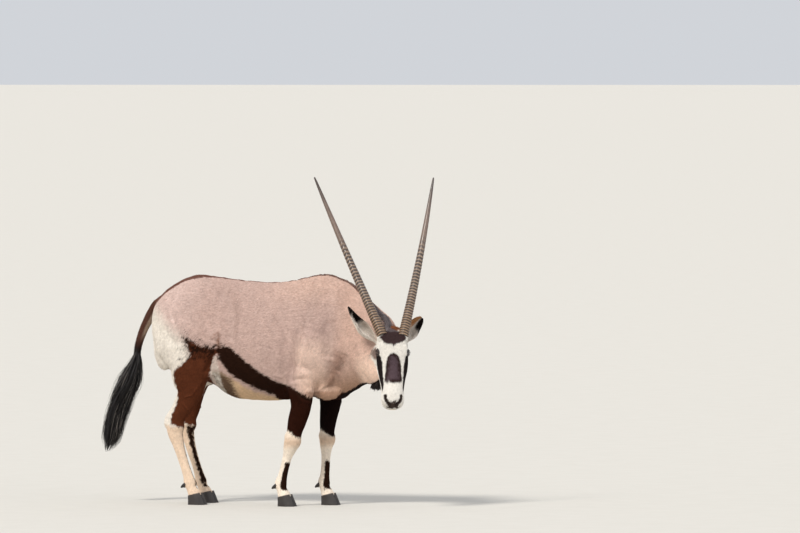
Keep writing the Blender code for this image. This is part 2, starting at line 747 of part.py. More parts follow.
def ear_rings(side):
    """Crescent sections from the root of an ear to its tip, cupped towards the front."""
    root, ahead, length, cup, across = ear_frame(side)
    rings = []
    for t in np.linspace(-0.055, 1.0, 13):
        rise = max(t, 0.0)
        spread = math.radians(128.0 - 62.0 * min(rise / 0.7, 1.0))
        hollow = min(max((rise - 0.06) / 0.22, 0.0), 1.0)
        radius = ear_half_width(t, side) / math.sin(min(spread, math.pi / 2))
        thick = EAR_THICKNESS * (1.6 - 0.9 * rise)
        angle = np.linspace(-spread, spread, 7)
        middle = math.cos(spread) * 0.5
        centre = root + ahead * (t * length) - cup * (0.010 * math.sin(math.pi * rise))
        outer = [centre + across * radius * math.sin(a) - cup * radius * (math.cos(a) - middle) for a in angle]
        inner = []
        for a in angle[::-1]:
            deep = (radius - thick) * (math.cos(a) - middle)
            flat = -middle * radius + thick * 0.2
            depth = deep * hollow + flat * (1 - hollow)
            inner.append(centre + across * (radius - thick) * math.sin(a) - cup * depth)
        rings.append(np.array(outer + inner))
    return np.array(rings)


def ear_pocket(side):
    """The hole that the root of an ear stands in: a hull around it with a little clearance."""
    points = ear_rings(side)[:4].reshape(-1, 3)
    middle = points.mean(axis=0)
    points = middle + (points - middle) * 1.035
    build = bmesh.new()
    for point in points:
        build.verts.new(point)
    hull = bmesh.ops.convex_hull(build, input=build.verts)
    bmesh.ops.delete(build, geom=hull["geom_interior"], context="VERTS")
    build.verts.index_update()
    corners = np.array([v.co[:] for v in build.verts])
    faces = [tuple(v.index for v in f.verts) for f in build.faces]
    build.free()
    return cutter("ear_pocket", [(corners, faces)])


def surface_tree(thing):
    """A search tree of the object's faces, for placing fine grooves on its skin."""
    return BVHTree.FromObject(thing, bpy.context.evaluated_depsgraph_get())


def on_skin(tree, start, end):
    """The first place of the skin on the way from start to end."""
    way = Vector(end) - Vector(start)
    hit = tree.ray_cast(Vector(start), way.normalized(), way.length)[0]
    return np.array(hit if hit is not None else end)


def mouth_groove(tree):
    """The line of the mouth around the muzzle."""
    middle = head_point(0.330, -0.064, 0)
    path = []
    for angle in np.radians(np.linspace(-112, 112, 19)):
        way = head_way(math.cos(angle), -0.10 * math.cos(angle), math.sin(angle))
        path.append(on_skin(tree, middle + way * 0.16, middle))
    return cutter("mouth", [loft(rope(path, [0.0018] * 19, 8))])


def nostril_groove(tree, side):
    """A nostril: a comma that opens outwards and curls in above the lip."""
    path = []
    comma = ((0.336, 0.0370), (0.347, 0.0395), (0.360, 0.0360), (0.371, 0.0270), (0.375, 0.0180))
    for along, out in comma:
        place = head_point(along, 0, side * out)
        start = place + head_way(0.04, 0.08, side * 0.03)
        path.append(on_skin(tree, start, place + head_way(0, -0.06, 0)))
    return cutter("nostril", [loft(rope(path, [0.0022, 0.0042, 0.0050, 0.0042, 0.0024], 10))])


def horn_path(side, count):
    """Centres of a horn from inside the skull to its tip, with the bow that each one has."""
    if side < 0:
        tip = np.array([0.3051, -0.1151, 1.7077])
        bow = np.array([-0.010, 0.016, 0.000])
    else:
        tip = np.array([0.8769, 0.1159, 1.7056])
        bow = np.array([0.005, 0.010, 0.000])
    root = head_point(0.016, -0.006, side * HORN_ROOT_OUT)
    t = np.linspace(0.0, 1.0, count)[:, None]
    return root + (tip - root) * t + bow * np.sin(math.pi * t)


def horn_radius(share):
    """Thickness along a horn, with the raised rings of its lower part."""
    plain = HORN_TIP_RADIUS + (HORN_BASE_RADIUS - HORN_TIP_RADIUS) * (1 - share) ** HORN_THINNING
    phase = share / HORN_RINGED_SHARE * HORN_RINGS
    ridge = 0.5 - 0.5 * math.cos(2 * math.pi * phase)
    fade = 1.0 if share < HORN_RINGED_SHARE - 0.06 else max(0.0, (HORN_RINGED_SHARE - share) / 0.06)
    return plain * (1 + 0.075 * fade * (ridge - 0.4))


def horn(side):
    """One long ringed horn, sunk a little into the skull."""
    lower = np.linspace(0.0, HORN_RINGED_SHARE, HORN_RINGS * 2 + 1)
    upper = np.linspace(HORN_RINGED_SHARE, 1.0, 10)[1:]
    shares = np.concatenate([lower, upper])
    fine = horn_path(side, 201)
    even = np.linspace(0, 1, 201)
    centres = np.column_stack([np.interp(shares, even, fine[:, k]) for k in range(3)])
    radii = [horn_radius(s) for s in shares]
    radii[-1] = 0.0012
    name = "horn_left" if side > 0 else "horn_right"
    return mesh_object(name, [loft(rope(centres, radii, HORN_SIDES))])


def horn_pocket(side):
    """The hole that the root of a horn stands in."""
    centres = horn_path(side, 41)[:8]
    first = centres[0] - (centres[1] - centres[0]) * 0.02
    centres = np.vstack([first[None], centres[1:]])
    radii = [(HORN_BASE_RADIUS * (1 - 0.02 * k)) * 1.06 + GAP for k in range(8)]
    return cutter("pocket", [loft(rope(centres, radii, 24))])


def claw_outline(length, width, pinch, count=14):
    """Half a hoof seen from above: round heel, long outer edge and a toe drawn in to the middle."""
    angle = np.arange(count) * 2 * math.pi / count
    x = np.cos(angle) * length / 2
    y = np.sin(angle) * width / 2
    narrow = 1 - pinch * np.clip(x / (length / 2), 0, 1) ** 2
    return x, y * narrow


def claw(name, foot, toe):
    """One claw of a hoof, from its flat sole to the sloping coronet."""
    x0, y0 = foot
    middle = y0 + toe * (CLAW_WIDTH / 2 + CLAW_CLEFT / 2)
    rings = []
    for t in (0.0, 0.12, 0.45, 0.8, 1.0):
        length = CLAW_LENGTH + (0.066 - CLAW_LENGTH) * t ** 0.8
        width = CLAW_WIDTH + (0.0305 - CLAW_WIDTH) * t
        if t == 0.0:
            length -= 0.004
            width -= 0.003
        x, y = claw_outline(length, width, 0.62)
        px = x0 + 0.014 * (1 - t) + x
        py = middle + y
        top = CORONET_HEIGHT - GAP + (px - x0) * CORONET_SLOPE
        rings.append(np.column_stack([px, py, np.clip(t * top, 0.0, None)]))
    return mesh_object(name, [loft(np.array(rings))])


def dewclaw(fetlock, side, grow=0.0):
    """The small cone of horn behind a fetlock."""
    x, y, z = fetlock
    start = np.array([x - 0.018, y + side * 0.0135, z - 0.004])
    end = start + np.array([-0.026, side * 0.004, -0.020])
    path = [start + (end - start) * t for t in (0.0, 0.4, 0.75, 1.0)]
    radii = np.array([0.0098, 0.0092, 0.0070, 0.0030]) + grow
    return loft(rope(path, radii, 8))


# Tail


def tail_path(count):
    """Centres of the tail from the rump to the tip of its tuft."""
    drawn = (
        (-0.588, 0.000, 1.060),
        (-0.624, 0.000, 1.037),
        (-0.656, 0.000, 0.999),
        (-0.684, 0.000, 0.953),
        (-0.716, -0.002, 0.886),
        (-0.736, -0.006, 0.820),
        (-0.745, -0.010, 0.750),
        (-0.770, -0.018, 0.660),
        (-0.817, -0.026, 0.550),
        (-0.862, -0.034, 0.410),
        (-0.882, -0.038, 0.320),
        (-0.902, -0.040, 0.262),
    )
    rows = flowing(drawn, 6)
    steps = np.linalg.norm(np.diff(rows, axis=0), axis=1)
    at = np.concatenate([[0.0], np.cumsum(steps)])
    want = np.linspace(0, at[-1], count)
    return np.column_stack([np.interp(want, at, rows[:, k]) for k in range(3)])


def tuft_radius(share):
    """Half the width of the tail's tuft along its hair."""
    return np.interp(share, TUFT_SHARES, TUFT_RADII)


def tuft_axes(hair):
    """Directions square to the hair path at each of its places."""
    ahead = np.gradient(hair, axis=0)
    ahead /= np.linalg.norm(ahead, axis=1)[:, None]
    side = np.cross(ahead, np.tile((0.0, 1.0, 0.0), (len(hair), 1)))
    side /= np.linalg.norm(side, axis=1)[:, None]
    return side, np.cross(ahead, side)


def tuft_shapes(hair):
    """A core and the long locks that hang over it, tier over tier, to ragged tips."""
    draw = random.Random(21)
    shares = np.linspace(0.0, 1.0, len(hair))
    side, other = tuft_axes(hair)
    core_at = np.linspace(0.0, TUFT_CORE_END, 12)
    core = np.column_stack([np.interp(core_at, shares, hair[:, k]) for k in range(3)])
    thick = np.maximum(tuft_radius(core_at) * TUFT_CORE_SHARE, TUFT_RADII[0])
    thick[-3:] *= (0.85, 0.6, 0.25)
    shapes = [loft(rope(core, thick, 10))]
    for i in range(TUFT_LOCKS):
        tier = i / (TUFT_LOCKS - 1)
        begin = 0.02 + 0.44 * tier + draw.uniform(-0.015, 0.015)
        end = min(begin + draw.uniform(0.34, 0.46) + 0.16 * tier, draw.uniform(0.93, 1.0))
        turn = i * 2.39996 + draw.uniform(-0.2, 0.2)
        t = np.linspace(0.0, 1.0, 5)
        at = begin + (end - begin) * t
        centre = np.column_stack([np.interp(at, shares, hair[:, k]) for k in range(3)])
        u = np.column_stack([np.interp(at, shares, side[:, k]) for k in range(3)])
        v = np.column_stack([np.interp(at, shares, other[:, k]) for k in range(3)])
        wander = turn + draw.uniform(-0.35, 0.35) * t
        out = u * np.cos(wander)[:, None] + v * np.sin(wander)[:, None]
        root = float(tuft_radius(begin)) * 0.38
        full = draw.uniform(0.72, 0.96)
        reach = root + (tuft_radius(at) * full - root) * np.sin(np.pi / 2 * np.clip(t * 1.35, 0, 1))
        centres = centre + out * reach[:, None]
        broad = np.cross(np.gradient(centres, axis=0), out)
        shapes.append(loft(lock_rings(centres, broad, 0.062, 0.016)))
    return shapes


def far_hind():
    """The left hind leg: the right one mirrored, its hock and hoof set further back."""
    rows = []
    for x, y, z, deep, wide in HIND_RIGHT:
        back = float(np.interp(z, FAR_HIND_HEIGHTS, FAR_HIND_BACK))
        rows.append((x - back, -y, z, deep * (1 - back), wide))
    return tuple(rows)


def head_planes():
    """Two big blocks, one on each side of the plane that parts the head from the neck."""
    ahead = np.array([math.cos(NECK_HEADING), math.sin(NECK_HEADING), 0.0])
    side = np.array([-ahead[1], ahead[0], 0.0])
    normal = math.cos(NECK_CUT_TILT) * ahead - math.sin(NECK_CUT_TILT) * np.array([0.0, 0.0, 1.0])
    along = np.cross(normal, side)
    throat = np.array(POLL) - ahead * NECK_CUT_BACK
    halves = (0.5, 0.6, 0.6)
    before = block(throat + normal * (0.5 - GAP / 2), normal, side, along, halves)
    behind = block(throat - normal * (0.5 - GAP / 2), normal, side, along, halves)
    return before, behind


def make_neck(body, before):
    """The neck, cut out of the body between the shoulder plane and the head plane."""
    neck = copy_of(body, "neck")
    trunk_side = block((NECK_CUT_PLACE - 1.0 + GAP / 2, 0, 1.0), *AXES, (1.0, 1.5, 1.5))
    boolean(neck, cutter("trunk_side", [trunk_side]))
    boolean(neck, cutter("head_side", [before]))
    return keep_largest(neck)


def make_torso(body):
    """The trunk behind the shoulder plane, still with the tops of its legs."""
    torso = copy_of(body, "torso")
    neck_side = block((NECK_CUT_PLACE + 1.0 - GAP / 2, 0, 1.0), *AXES, (1.0, 1.5, 1.5))
    return boolean(torso, cutter("neck_side", [neck_side]))


def make_leg(body, torso, name, rows, cut_at):
    """One leg below its cut, with its claws and dewclaws, all taken off the torso."""
    x = rows[4][0]
    y = rows[5][1]
    half_high = cut_at / 2 + 0.1 + GAP / 4
    low = block((x, y, half_high - 0.2), *AXES, (*LEG_BOX, half_high))
    boolean(torso, cutter("below_" + name, [low]))
    leg = copy_of(body, name)
    half_high = cut_at / 2 - GAP / 4
    keep = block((x, y, half_high), *AXES, (LEG_BOX[0] - GAP / 3, LEG_BOX[1] - GAP / 3, half_high))
    boolean(leg, cutter("around_" + name, [keep]), "INTERSECT")
    foot = rows[-1][:2]
    slope = np.array([1.0, 0.0, CORONET_SLOPE]) / math.hypot(1.0, CORONET_SLOPE)
    up = np.array([-slope[2], 0.0, slope[0]])
    place = np.array([*foot, CORONET_HEIGHT]) - up * 0.1
    boolean(leg, cutter("hoof_side_" + name, [block(place, slope, AXES[1], up, (0.3, 0.3, 0.1))]))
    for toe in (-1, 1):
        where = "outer" if toe * rows[0][1] > 0 else "inner"
        pocket = cutter("dewclaw_pocket", [dewclaw(rows[-4][:3], toe, GAP)])
        boolean(leg, pocket, solver="MANIFOLD")
        small = mesh_object(f"dewclaw_{name[4:]}_{where}", [dewclaw(rows[-4][:3], toe)])
        finish(small, HOOF, 0.5)
        finish(claw(f"claw_{name[4:]}_{where}", foot, toe), HOOF, 0.45)
    return keep_largest(leg)


def make_head(neck, behind):
    """The head, with its horns, eyes and ears set in pockets of it and of the neck."""
    forms = mesh_object("head", head_shapes() + neck_shapes())
    head = blended(forms, HEAD_VOXEL, 4, HEAD_FACES, head_softness)
    keep_largest(boolean(head, cutter("behind_head", [behind])))
    for side in (-1, 1):
        name = "left" if side > 0 else "right"
        boolean(head, horn_pocket(side))
        boolean(neck, horn_pocket(side), solver="MANIFOLD")
        finish(horn(side), HORN, 0.5)
        centre = head_point(EYE_ALONG, EYE_RISE, side * EYE_OUT)
        boolean(head, cutter("socket", [blob(centre, [EYE_RADIUS + GAP] * 3)]))
        finish(mesh_object("eye_" + name, [blob(centre, [EYE_RADIUS] * 3)]), EYE, 0.12)
        boolean(head, ear_pocket(side), solver="MANIFOLD")
        boolean(neck, ear_pocket(side), solver="MANIFOLD")
        finish(mesh_object("ear_" + name, [loft(ear_rings(side))]), WHITE)
    tree = surface_tree(head)
    for groove in (mouth_groove(tree), nostril_groove(tree, -1), nostril_groove(tree, 1)):
        boolean(head, groove)
    keep_largest(neck)
    return keep_largest(head)


def make_tail(torso):
    """The dock, sunk into the rump, and the long tuft that grows round its lower half."""
    path = tail_path(TAIL_STEPS)
    radii = np.interp(np.linspace(0, 1, TAIL_STEPS), DOCK_SHARES, DOCK_RADII)
    dock = mesh_object("tail_dock", [loft(rope(path[:DOCK_STEPS], radii[:DOCK_STEPS], 10))])
    finish(dock, BROWN)
    start = path[:6] + (path[0] - path[1]) * 0.02
    boolean(torso, cutter("tail_pocket", [loft(rope(start, radii[:6] * 1.05 + GAP, 20))]))
    locks = tuft_shapes(path[TUFT_START:])
    tuft = fused(mesh_object("tail_tuft", locks[:1]), locks[1:], "MANIFOLD")
    inner = path[: DOCK_STEPS + 1].copy()
    inner[-1] = inner[-2] + (inner[-1] - inner[-2]) * 0.12
    room = np.append(radii[:DOCK_STEPS], radii[DOCK_STEPS - 1]) * 1.05 + 3 * GAP
    boolean(tuft, cutter("dock_pocket", [loft(rope(inner, room, 20))]), solver="MANIFOLD")
    return keep_largest(tuft)


def settle(nodes):
    """Moves all nodes so that the middle of the bottom of their box is at the origin."""
    points = np.concatenate([[v.co[:] for v in thing.data.vertices] for thing in nodes])
    low = points.min(axis=0)
    high = points.max(axis=0)
    shift = Matrix.Translation((-(low[0] + high[0]) / 2, -(low[1] + high[1]) / 2, -low[2]))
    for thing in nodes:
        thing.data.transform(shift)


def build():
    """Makes every node, parts them and stands the animal on its origin."""
    clear_scene()
    legs = {
        "leg_front_right": (FRONT_RIGHT, FRONT_CUT_HEIGHT),
        "leg_front_left": (FRONT_LEFT, FRONT_CUT_HEIGHT),
        "leg_hind_right": (HIND_RIGHT, HIND_CUT_HEIGHT),
        "leg_hind_left": (far_hind(), HIND_CUT_HEIGHT),
    }
    shapes = trunk_shapes() + neck_shapes() + head_shapes()
    for name, (rows, cut_at) in legs.items():
        shapes += leg_shapes(rows, "hind" in name)
    body = blended(mesh_object("body", shapes), BODY_VOXEL, 14, BODY_FACES, trunk_softness)
    tree = surface_tree(body)
    fused(body, mane_locks(tree) + throat_locks(tree))

    before, behind = head_planes()
    neck = make_neck(body, before)
    torso = make_torso(body)
    for name, (rows, cut_at) in legs.items():
        finish(make_leg(body, torso, name, rows, cut_at), BROWN if "hind" in name else BLACK)
    head = make_head(neck, behind)
    tuft = make_tail(torso)
    finish(keep_largest(torso), TAN)
    finish(neck, NECK_TAN)
    finish(head, WHITE)
    finish(tuft, BLACK)

    bpy.data.objects.remove(body, do_unlink=True)
    settle(list(bpy.data.collections["gemsbok"].objects))


build()
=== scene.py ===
"""Dresses the standing gemsbok: skin, short coat, mane, tail, horns, hooves, ears and eyes.

Lengths are metres. Until a mesh is made, places are in the working frame of the solids:
+X from rump to chest, +Y to the animal's left, the floor at Z = 0. The shift that
`Mover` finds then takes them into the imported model's frame.
"""

from __future__ import annotations

import sys

import logging
import math
from dataclasses import dataclass, field
from enum import Enum

import bpy
import numpy as np
from numpy.typing import NDArray
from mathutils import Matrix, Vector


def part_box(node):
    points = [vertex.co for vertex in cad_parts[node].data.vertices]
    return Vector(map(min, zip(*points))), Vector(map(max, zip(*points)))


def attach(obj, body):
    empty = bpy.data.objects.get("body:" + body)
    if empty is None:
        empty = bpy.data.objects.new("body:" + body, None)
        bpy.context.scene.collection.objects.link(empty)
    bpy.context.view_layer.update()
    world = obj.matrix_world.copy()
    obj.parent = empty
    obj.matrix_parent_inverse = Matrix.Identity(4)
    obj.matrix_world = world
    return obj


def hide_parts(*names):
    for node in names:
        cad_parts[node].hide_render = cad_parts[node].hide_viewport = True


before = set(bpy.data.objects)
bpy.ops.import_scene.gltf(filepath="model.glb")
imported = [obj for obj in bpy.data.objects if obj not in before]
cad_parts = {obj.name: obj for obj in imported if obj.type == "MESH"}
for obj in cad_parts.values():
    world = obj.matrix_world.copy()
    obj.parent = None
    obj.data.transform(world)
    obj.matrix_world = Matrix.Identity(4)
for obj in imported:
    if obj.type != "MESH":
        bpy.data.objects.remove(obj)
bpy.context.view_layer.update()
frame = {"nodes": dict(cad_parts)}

Array = NDArray[np.float64]
Ints = NDArray[np.int64]
Mesh = tuple[Array, Ints]
Place = Array | tuple[float, ...]
Rows = tuple[tuple[float, ...], ...]
Draw = np.random.Generator
Thing = bpy.types.Object
Material = bpy.types.Material
Tree = bpy.types.NodeTree
Socket = bpy.types.NodeSocket

log = logging.getLogger("gemsbok")
TURN = 2 * math.pi
CORNERS = 4  # points of one tuft, and of one row of a lock
UP = np.array([0.0, 0.0, 1.0])


# Numbers and colours


def linear(code: str) -> Array:
    """Turns an sRGB hex colour to linear light.

    Args:
        code: six hex digits.

    Returns:
        Three linear values.
    """
    part = np.array([int(code[i : i + 2], 16) / 255 for i in (0, 2, 4)])
    return np.where(part <= 0.04045, part / 12.92, ((part + 0.055) / 1.055) ** 2.4)


def eased(low: float, high: float, value: Array) -> Array:
    """Rises from 0 at low to 1 at high with flat ends (the cubic 3t^2 - 2t^3)."""
    t = np.clip((value - low) / (high - low), 0.0, 1.0)
    return t * t * (3 - 2 * t)


def unit(vectors: Array) -> Array:
    """Scales each vector of the last axis to length one."""
    return vectors / np.maximum(np.linalg.norm(vectors, axis=-1, keepdims=True), 1e-12)


def along_skin(ways: Array, normals: Array) -> Array:
    """Turns each way to lie flat on the skin that has this normal."""
    return unit(ways - normals * (ways * normals).sum(axis=1, keepdims=True))


def tinted(colour: Array, share: Array, code: str) -> Array:
    """Lays a tone over colours, each by its own share."""
    return colour + share[:, None] * (linear(code) - colour)


def bell(away: Array, width: float) -> Array:
    """A smooth bump about zero: e to minus the square of away / width."""
    return np.exp(-((away / width) ** 2))


def kept(where: Array, distance: Array) -> Array:
    """The signed distance where a condition holds, and far outside elsewhere."""
    return np.where(where, distance, -1.0)


def at_shares(shares: Array, rows: Array, want: Array) -> Array:
    """Reads every column of rows, known at shares, at the wanted shares."""
    return np.column_stack([np.interp(want, shares, rows[:, k]) for k in range(rows.shape[1])])


def flowing(rows: object, between: int) -> Array:
    """Fills in sections by a cubic Hermite curve through the given ones.

    Args:
        rows: one row of numbers for each section, place first.
        between: steps from one section to the next.

    Returns:
        The filled rows.
    """
    given = np.array(rows, float)
    steps = np.linalg.norm(np.diff(given[:, :3], axis=0), axis=1)
    at = np.concatenate([[0.0], np.cumsum(steps)])
    slopes = np.gradient(given, at, axis=0)
    t = (np.arange(between) / between)[None, :, None]
    span = np.diff(at)[:, None, None]
    start, end = given[:-1, None], given[1:, None]
    lead, follow = slopes[:-1, None] * span, slopes[1:, None] * span
    filled = (2 * t**3 - 3 * t**2 + 1) * start + (t**3 - 2 * t**2 + t) * lead
    filled = filled + (3 * t**2 - 2 * t**3) * end + (t**3 - t**2) * follow
    return np.vstack([filled.reshape(-1, given.shape[1]), given[-1:]])


def outline_distance(points: Array, outline: Rows) -> Array:
    """Distance to a closed outline in a plane, positive inside.

    A point is inside when a ray from it crosses the outline an odd number of times.

    Args:
        points: places (n, 2).
        outline: corners (m, 2).

    Returns:
        n signed distances.
    """
    closed = np.array([*outline, outline[0]])
    inside = np.zeros(len(points), bool)
    for a, b in zip(closed[:-1], closed[1:]):
        edge = b - a
        spans = (a[1] > points[:, 1]) != (b[1] > points[:, 1])
        rise = edge[1] if abs(edge[1]) > 1e-12 else 1e-12
        inside ^= spans & (points[:, 0] < edge[0] * (points[:, 1] - a[1]) / rise + a[0])
    return np.where(inside, 1.0, -1.0) * path_distance(points, closed)[0]


def path_distance(points: Array, path: Array | Rows) -> tuple[Array, Array]:
    """Distance from each point to an open path, and how far along it the nearest place is.

    Args:
        points: places (n, k).
        path: corners (m, k).

    Returns:
        The distances, and the nearest places as shares of the path from 0 to 1.
    """
    nearest = np.full(len(points), np.inf)
    share = np.zeros(len(points))
    corners = np.asarray(path, float)
    legs = len(corners) - 1
    for i in range(legs):
        edge = corners[i + 1] - corners[i]
        away = points - corners[i]
        t = np.clip(away @ edge / max(float(edge @ edge), 1e-12), 0.0, 1.0)
        gap = ((away - t[:, None] * edge) ** 2).sum(axis=1)
        closer = gap < nearest
        nearest = np.where(closer, gap, nearest)
        share = np.where(closer, (i + t) / legs, share)
    return np.sqrt(nearest), share


def rippled(points: Array, size: float, seed: int) -> Array:
    """Smooth random waves about zero: a sum of sines in seeded directions.

    Args:
        points: places (n, 3).
        size: about the width of one wave.
        seed: which pattern.

    Returns:
        n values, mostly between -1 and 1.
    """
    draw = np.random.default_rng(seed)
    ways = unit(draw.normal(size=(9, 3))) * TURN / size * draw.uniform(0.6, 1.5, (9, 1))
    phases = draw.uniform(0, TURN, 9)
    return np.sin(points @ ways.T + phases).sum(axis=1) / 4.2


# Meshes


class Mover:
    """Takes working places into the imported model's frame."""

    def __init__(self, known: Array) -> None:
        """Finds the shift from the right eye, whose working centre is given."""
        low, high = (np.array(corner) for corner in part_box("eye_right"))
        self.shift: Array = (low + high) / 2 - known

    def moved(self, points: Array) -> Array:
        """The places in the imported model's frame."""
        return points + self.shift


def mesh_piece(name: str, points: Array, faces: Ints, smooth: bool = True) -> Thing:
    """Puts whole arrays of points and of equal-sided faces into a new object.

    Args:
        name: the object's name.
        points: places (n, 3).
        faces: point numbers (m, 3) or (m, 4).
        smooth: whether it is shaded smooth.

    Returns:
        The new object, at the origin.
    """
    mesh = bpy.data.meshes.new(name)
    mesh.vertices.add(len(points))
    mesh.vertices.foreach_set("co", points.astype(np.float32).ravel())
    mesh.loops.add(faces.size)
    mesh.loops.foreach_set("vertex_index", faces.astype(np.int32).ravel())
    mesh.polygons.add(len(faces))
    mesh.polygons.foreach_set("loop_start", np.arange(0, faces.size, faces.shape[1], dtype=np.int32))
    mesh.polygons.foreach_set("use_smooth", np.full(len(faces), smooth))
    mesh.update(calc_edges=True)
    mesh.validate()
    thing = bpy.data.objects.new(name, mesh)
    bpy.context.scene.collection.objects.link(thing)
    return thing


def tube_faces(rows: int, around: int, start: int = 0) -> Ints:
    """Four-sided faces between rows of points that each close on themselves.

    Args:
        rows: how many rows there are.
        around: points in each row.
        start: the first point's number.

    Returns:
        Faces (n, 4).
    """
    i, j = np.meshgrid(np.arange(rows - 1), np.arange(around), indexing="ij")
    k = (j + 1) % around
    quads = np.stack([i * around + j, i * around + k, (i + 1) * around + k, (i + 1) * around + j], -1)
    return quads.reshape(-1, 4) + start


def halved(quads: Ints) -> Ints:
    """Four-sided faces cut into triangles, all first halves before the second ones."""
    return np.vstack([quads[:, [0, 1, 2]], quads[:, [0, 2, 3]]])


def capped(rings: Array) -> Mesh:
    """A closed skin over rings: four-sided walls, and a fan to a middle point at each end.

    Args:
        rings: places (rows, around, 3).

    Returns:
        Places and three-sided faces.
    """
    rows, around = rings.shape[:2]
    ends = np.stack([rings[0].mean(axis=0), rings[-1].mean(axis=0)])
    points = np.vstack([rings.reshape(-1, 3), ends])
    walls = halved(tube_faces(rows, around))
    j = np.arange(around)
    k = (j + 1) % around
    first = np.stack([np.full(around, rows * around), k, j], -1)
    start = (rows - 1) * around
    last = np.stack([np.full(around, rows * around + 1), start + j, start + k], -1)
    return points, outward(points, np.vstack([walls, first, last]))


def outward(points: Array, faces: Ints) -> Ints:
    """Turns all faces round if the volume that they close comes out negative."""
    a, b, c = (points[faces[:, k]] for k in range(3))
    return faces if (a * np.cross(b, c)).sum() > 0 else faces[:, ::-1]


def joined(parts: list[Mesh]) -> Mesh:
    """Puts several meshes into one pair of arrays."""
    starts = np.cumsum([0] + [len(points) for points, _ in parts[:-1]])
    faces = np.vstack([faces + start for (_, faces), start in zip(parts, starts)])
    return np.vstack([points for points, _ in parts]), faces


def arrays_of(thing: Thing) -> Mesh:
    """Reads an object's places and its faces as triangles, modifiers included.

    Args:
        thing: the object.

    Returns:
        Places and three-sided faces.
    """
    bpy.context.view_layer.update()
    ready = thing.evaluated_get(bpy.context.evaluated_depsgraph_get())
    mesh = ready.to_mesh()
    mesh.calc_loop_triangles()
    points = np.empty(len(mesh.vertices) * 3, np.float32)
    mesh.vertices.foreach_get("co", points)
    faces = np.empty(len(mesh.loop_triangles) * 3, np.int32)
    mesh.loop_triangles.foreach_get("vertices", faces)
    ready.to_mesh_clear()
    return points.reshape(-1, 3).astype(float), faces.reshape(-1, 3).astype(np.int64)


def point_normals(points: Array, faces: Ints) -> Array:
    """Normals at the points, each the area-weighted mean of its faces' normals.

    Args:
        points: places (n, 3).
        faces: three-sided faces.

    Returns:
        Unit normals (n, 3).
    """
    flat = np.cross(points[faces[:, 1]] - points[faces[:, 0]], points[faces[:, 2]] - points[faces[:, 0]])
    total = np.stack(
        [sum(np.bincount(faces[:, k], flat[:, axis], len(points)) for k in range(3)) for axis in range(3)], -1
    )
    return unit(total)


def relaxed(points: Array, faces: Ints, weight: Array, rounds: int) -> Array:
    """Moves each point half way to the mean of its neighbours, again and again.

    Args:
        points: places (n, 3).
        faces: three-sided faces.
        weight: how much of each move a point takes, from 0 to 1.
        rounds: how many times.

    Returns:
        The new places.
    """
    edges = np.vstack([faces[:, [0, 1]], faces[:, [1, 2]], faces[:, [2, 0]]])
    edges = np.unique(np.sort(edges, axis=1), axis=0)
    ends = np.concatenate([edges[:, 0], edges[:, 1]])
    others = np.concatenate([edges[:, 1], edges[:, 0]])
    count = np.maximum(np.bincount(ends, minlength=len(points)), 1)
    for _ in range(rounds):
        total = np.stack([np.bincount(ends, points[others, k], len(points)) for k in range(3)], -1)
        points = points + 0.5 * weight[:, None] * (total / count[:, None] - points)
    return points


@dataclass(frozen=True)
class Workshop:
    """What every piece needs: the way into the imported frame, and the finishes."""

    mover: Mover
    finishes: dict[Look, Material]

    def piece(
        self, name: str, mesh: Mesh, colours: Array, shade: Array | float | None, look: Look, slot: str,
        *nodes: str, smooth: bool = True,
    ) -> Thing:
        """Makes a piece with its point colours and finish, and fixes it to the body.

        Args:
            name: the object's name.
            mesh: its places in the working frame, and its faces.
            colours: a linear colour for each point.
            shade: how light each point's tuft is, or None where the finish doesn't ask.
            look: its finish.
            slot: the slot's name, which is only logged.
            nodes: the solids that it stands for.
            smooth: whether it is shaded smooth.

        Returns:
            The finished object.
        """
        points, faces = mesh
        thing = mesh_piece(name, self.mover.moved(points), faces, smooth)
        layer = thing.data.color_attributes.new("coat", "FLOAT_COLOR", "POINT")
        full = np.column_stack([colours, np.ones(len(colours))])
        layer.data.foreach_set("color", full.astype(np.float32).ravel())
        if shade is not None:
            layer = thing.data.attributes.new("shade", "FLOAT", "POINT")
            layer.data.foreach_set("value", np.broadcast_to(shade, len(points)).astype(np.float32))
        thing.data.materials.append(self.finishes[look])
        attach(thing, "root")
        if nodes:
            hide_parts(*nodes)
        log.info("%s: %d faces, slot %s", name, len(faces), slot)
        return thing


# Sections and ropes


def rounded(angle: Array, power: Array) -> tuple[Array, Array]:
    """Cosine and sine pulled out to a superellipse: each keeps its sign and takes the power 2 / p."""
    c, s = np.cos(angle), np.sin(angle)
    return np.sign(c) * np.abs(c) ** (2 / power), np.sign(s) * np.abs(s) ** (2 / power)


def sections(centre: Array, side: Array, rise: Array, sizes: Array, around: int) -> Array:
    """Closed superellipse sections, upper and lower halves each with its own height and power.

    Args:
        centre: middles at the widest places (n, 3).
        side: unit width directions (n, 3).
        rise: unit height directions (n, 3).
        sizes: half width, height up, height down, power up, power down (n, 5).
        around: points in each section.

    Returns:
        Places (n, around, 3).
    """
    angle = (np.arange(around) * TURN / around)[None]
    half, up, down, power_up, power_down = (sizes[:, k, None] for k in range(5))
    high, low = rounded(angle, power_up), rounded(angle, power_down)
    upper = angle <= math.pi
    across = np.where(upper, high[0], low[0]) * half
    along = np.where(upper, high[1] * up, low[1] * down)
    return centre[:, None] + across[..., None] * side[:, None] + along[..., None] * rise[:, None]


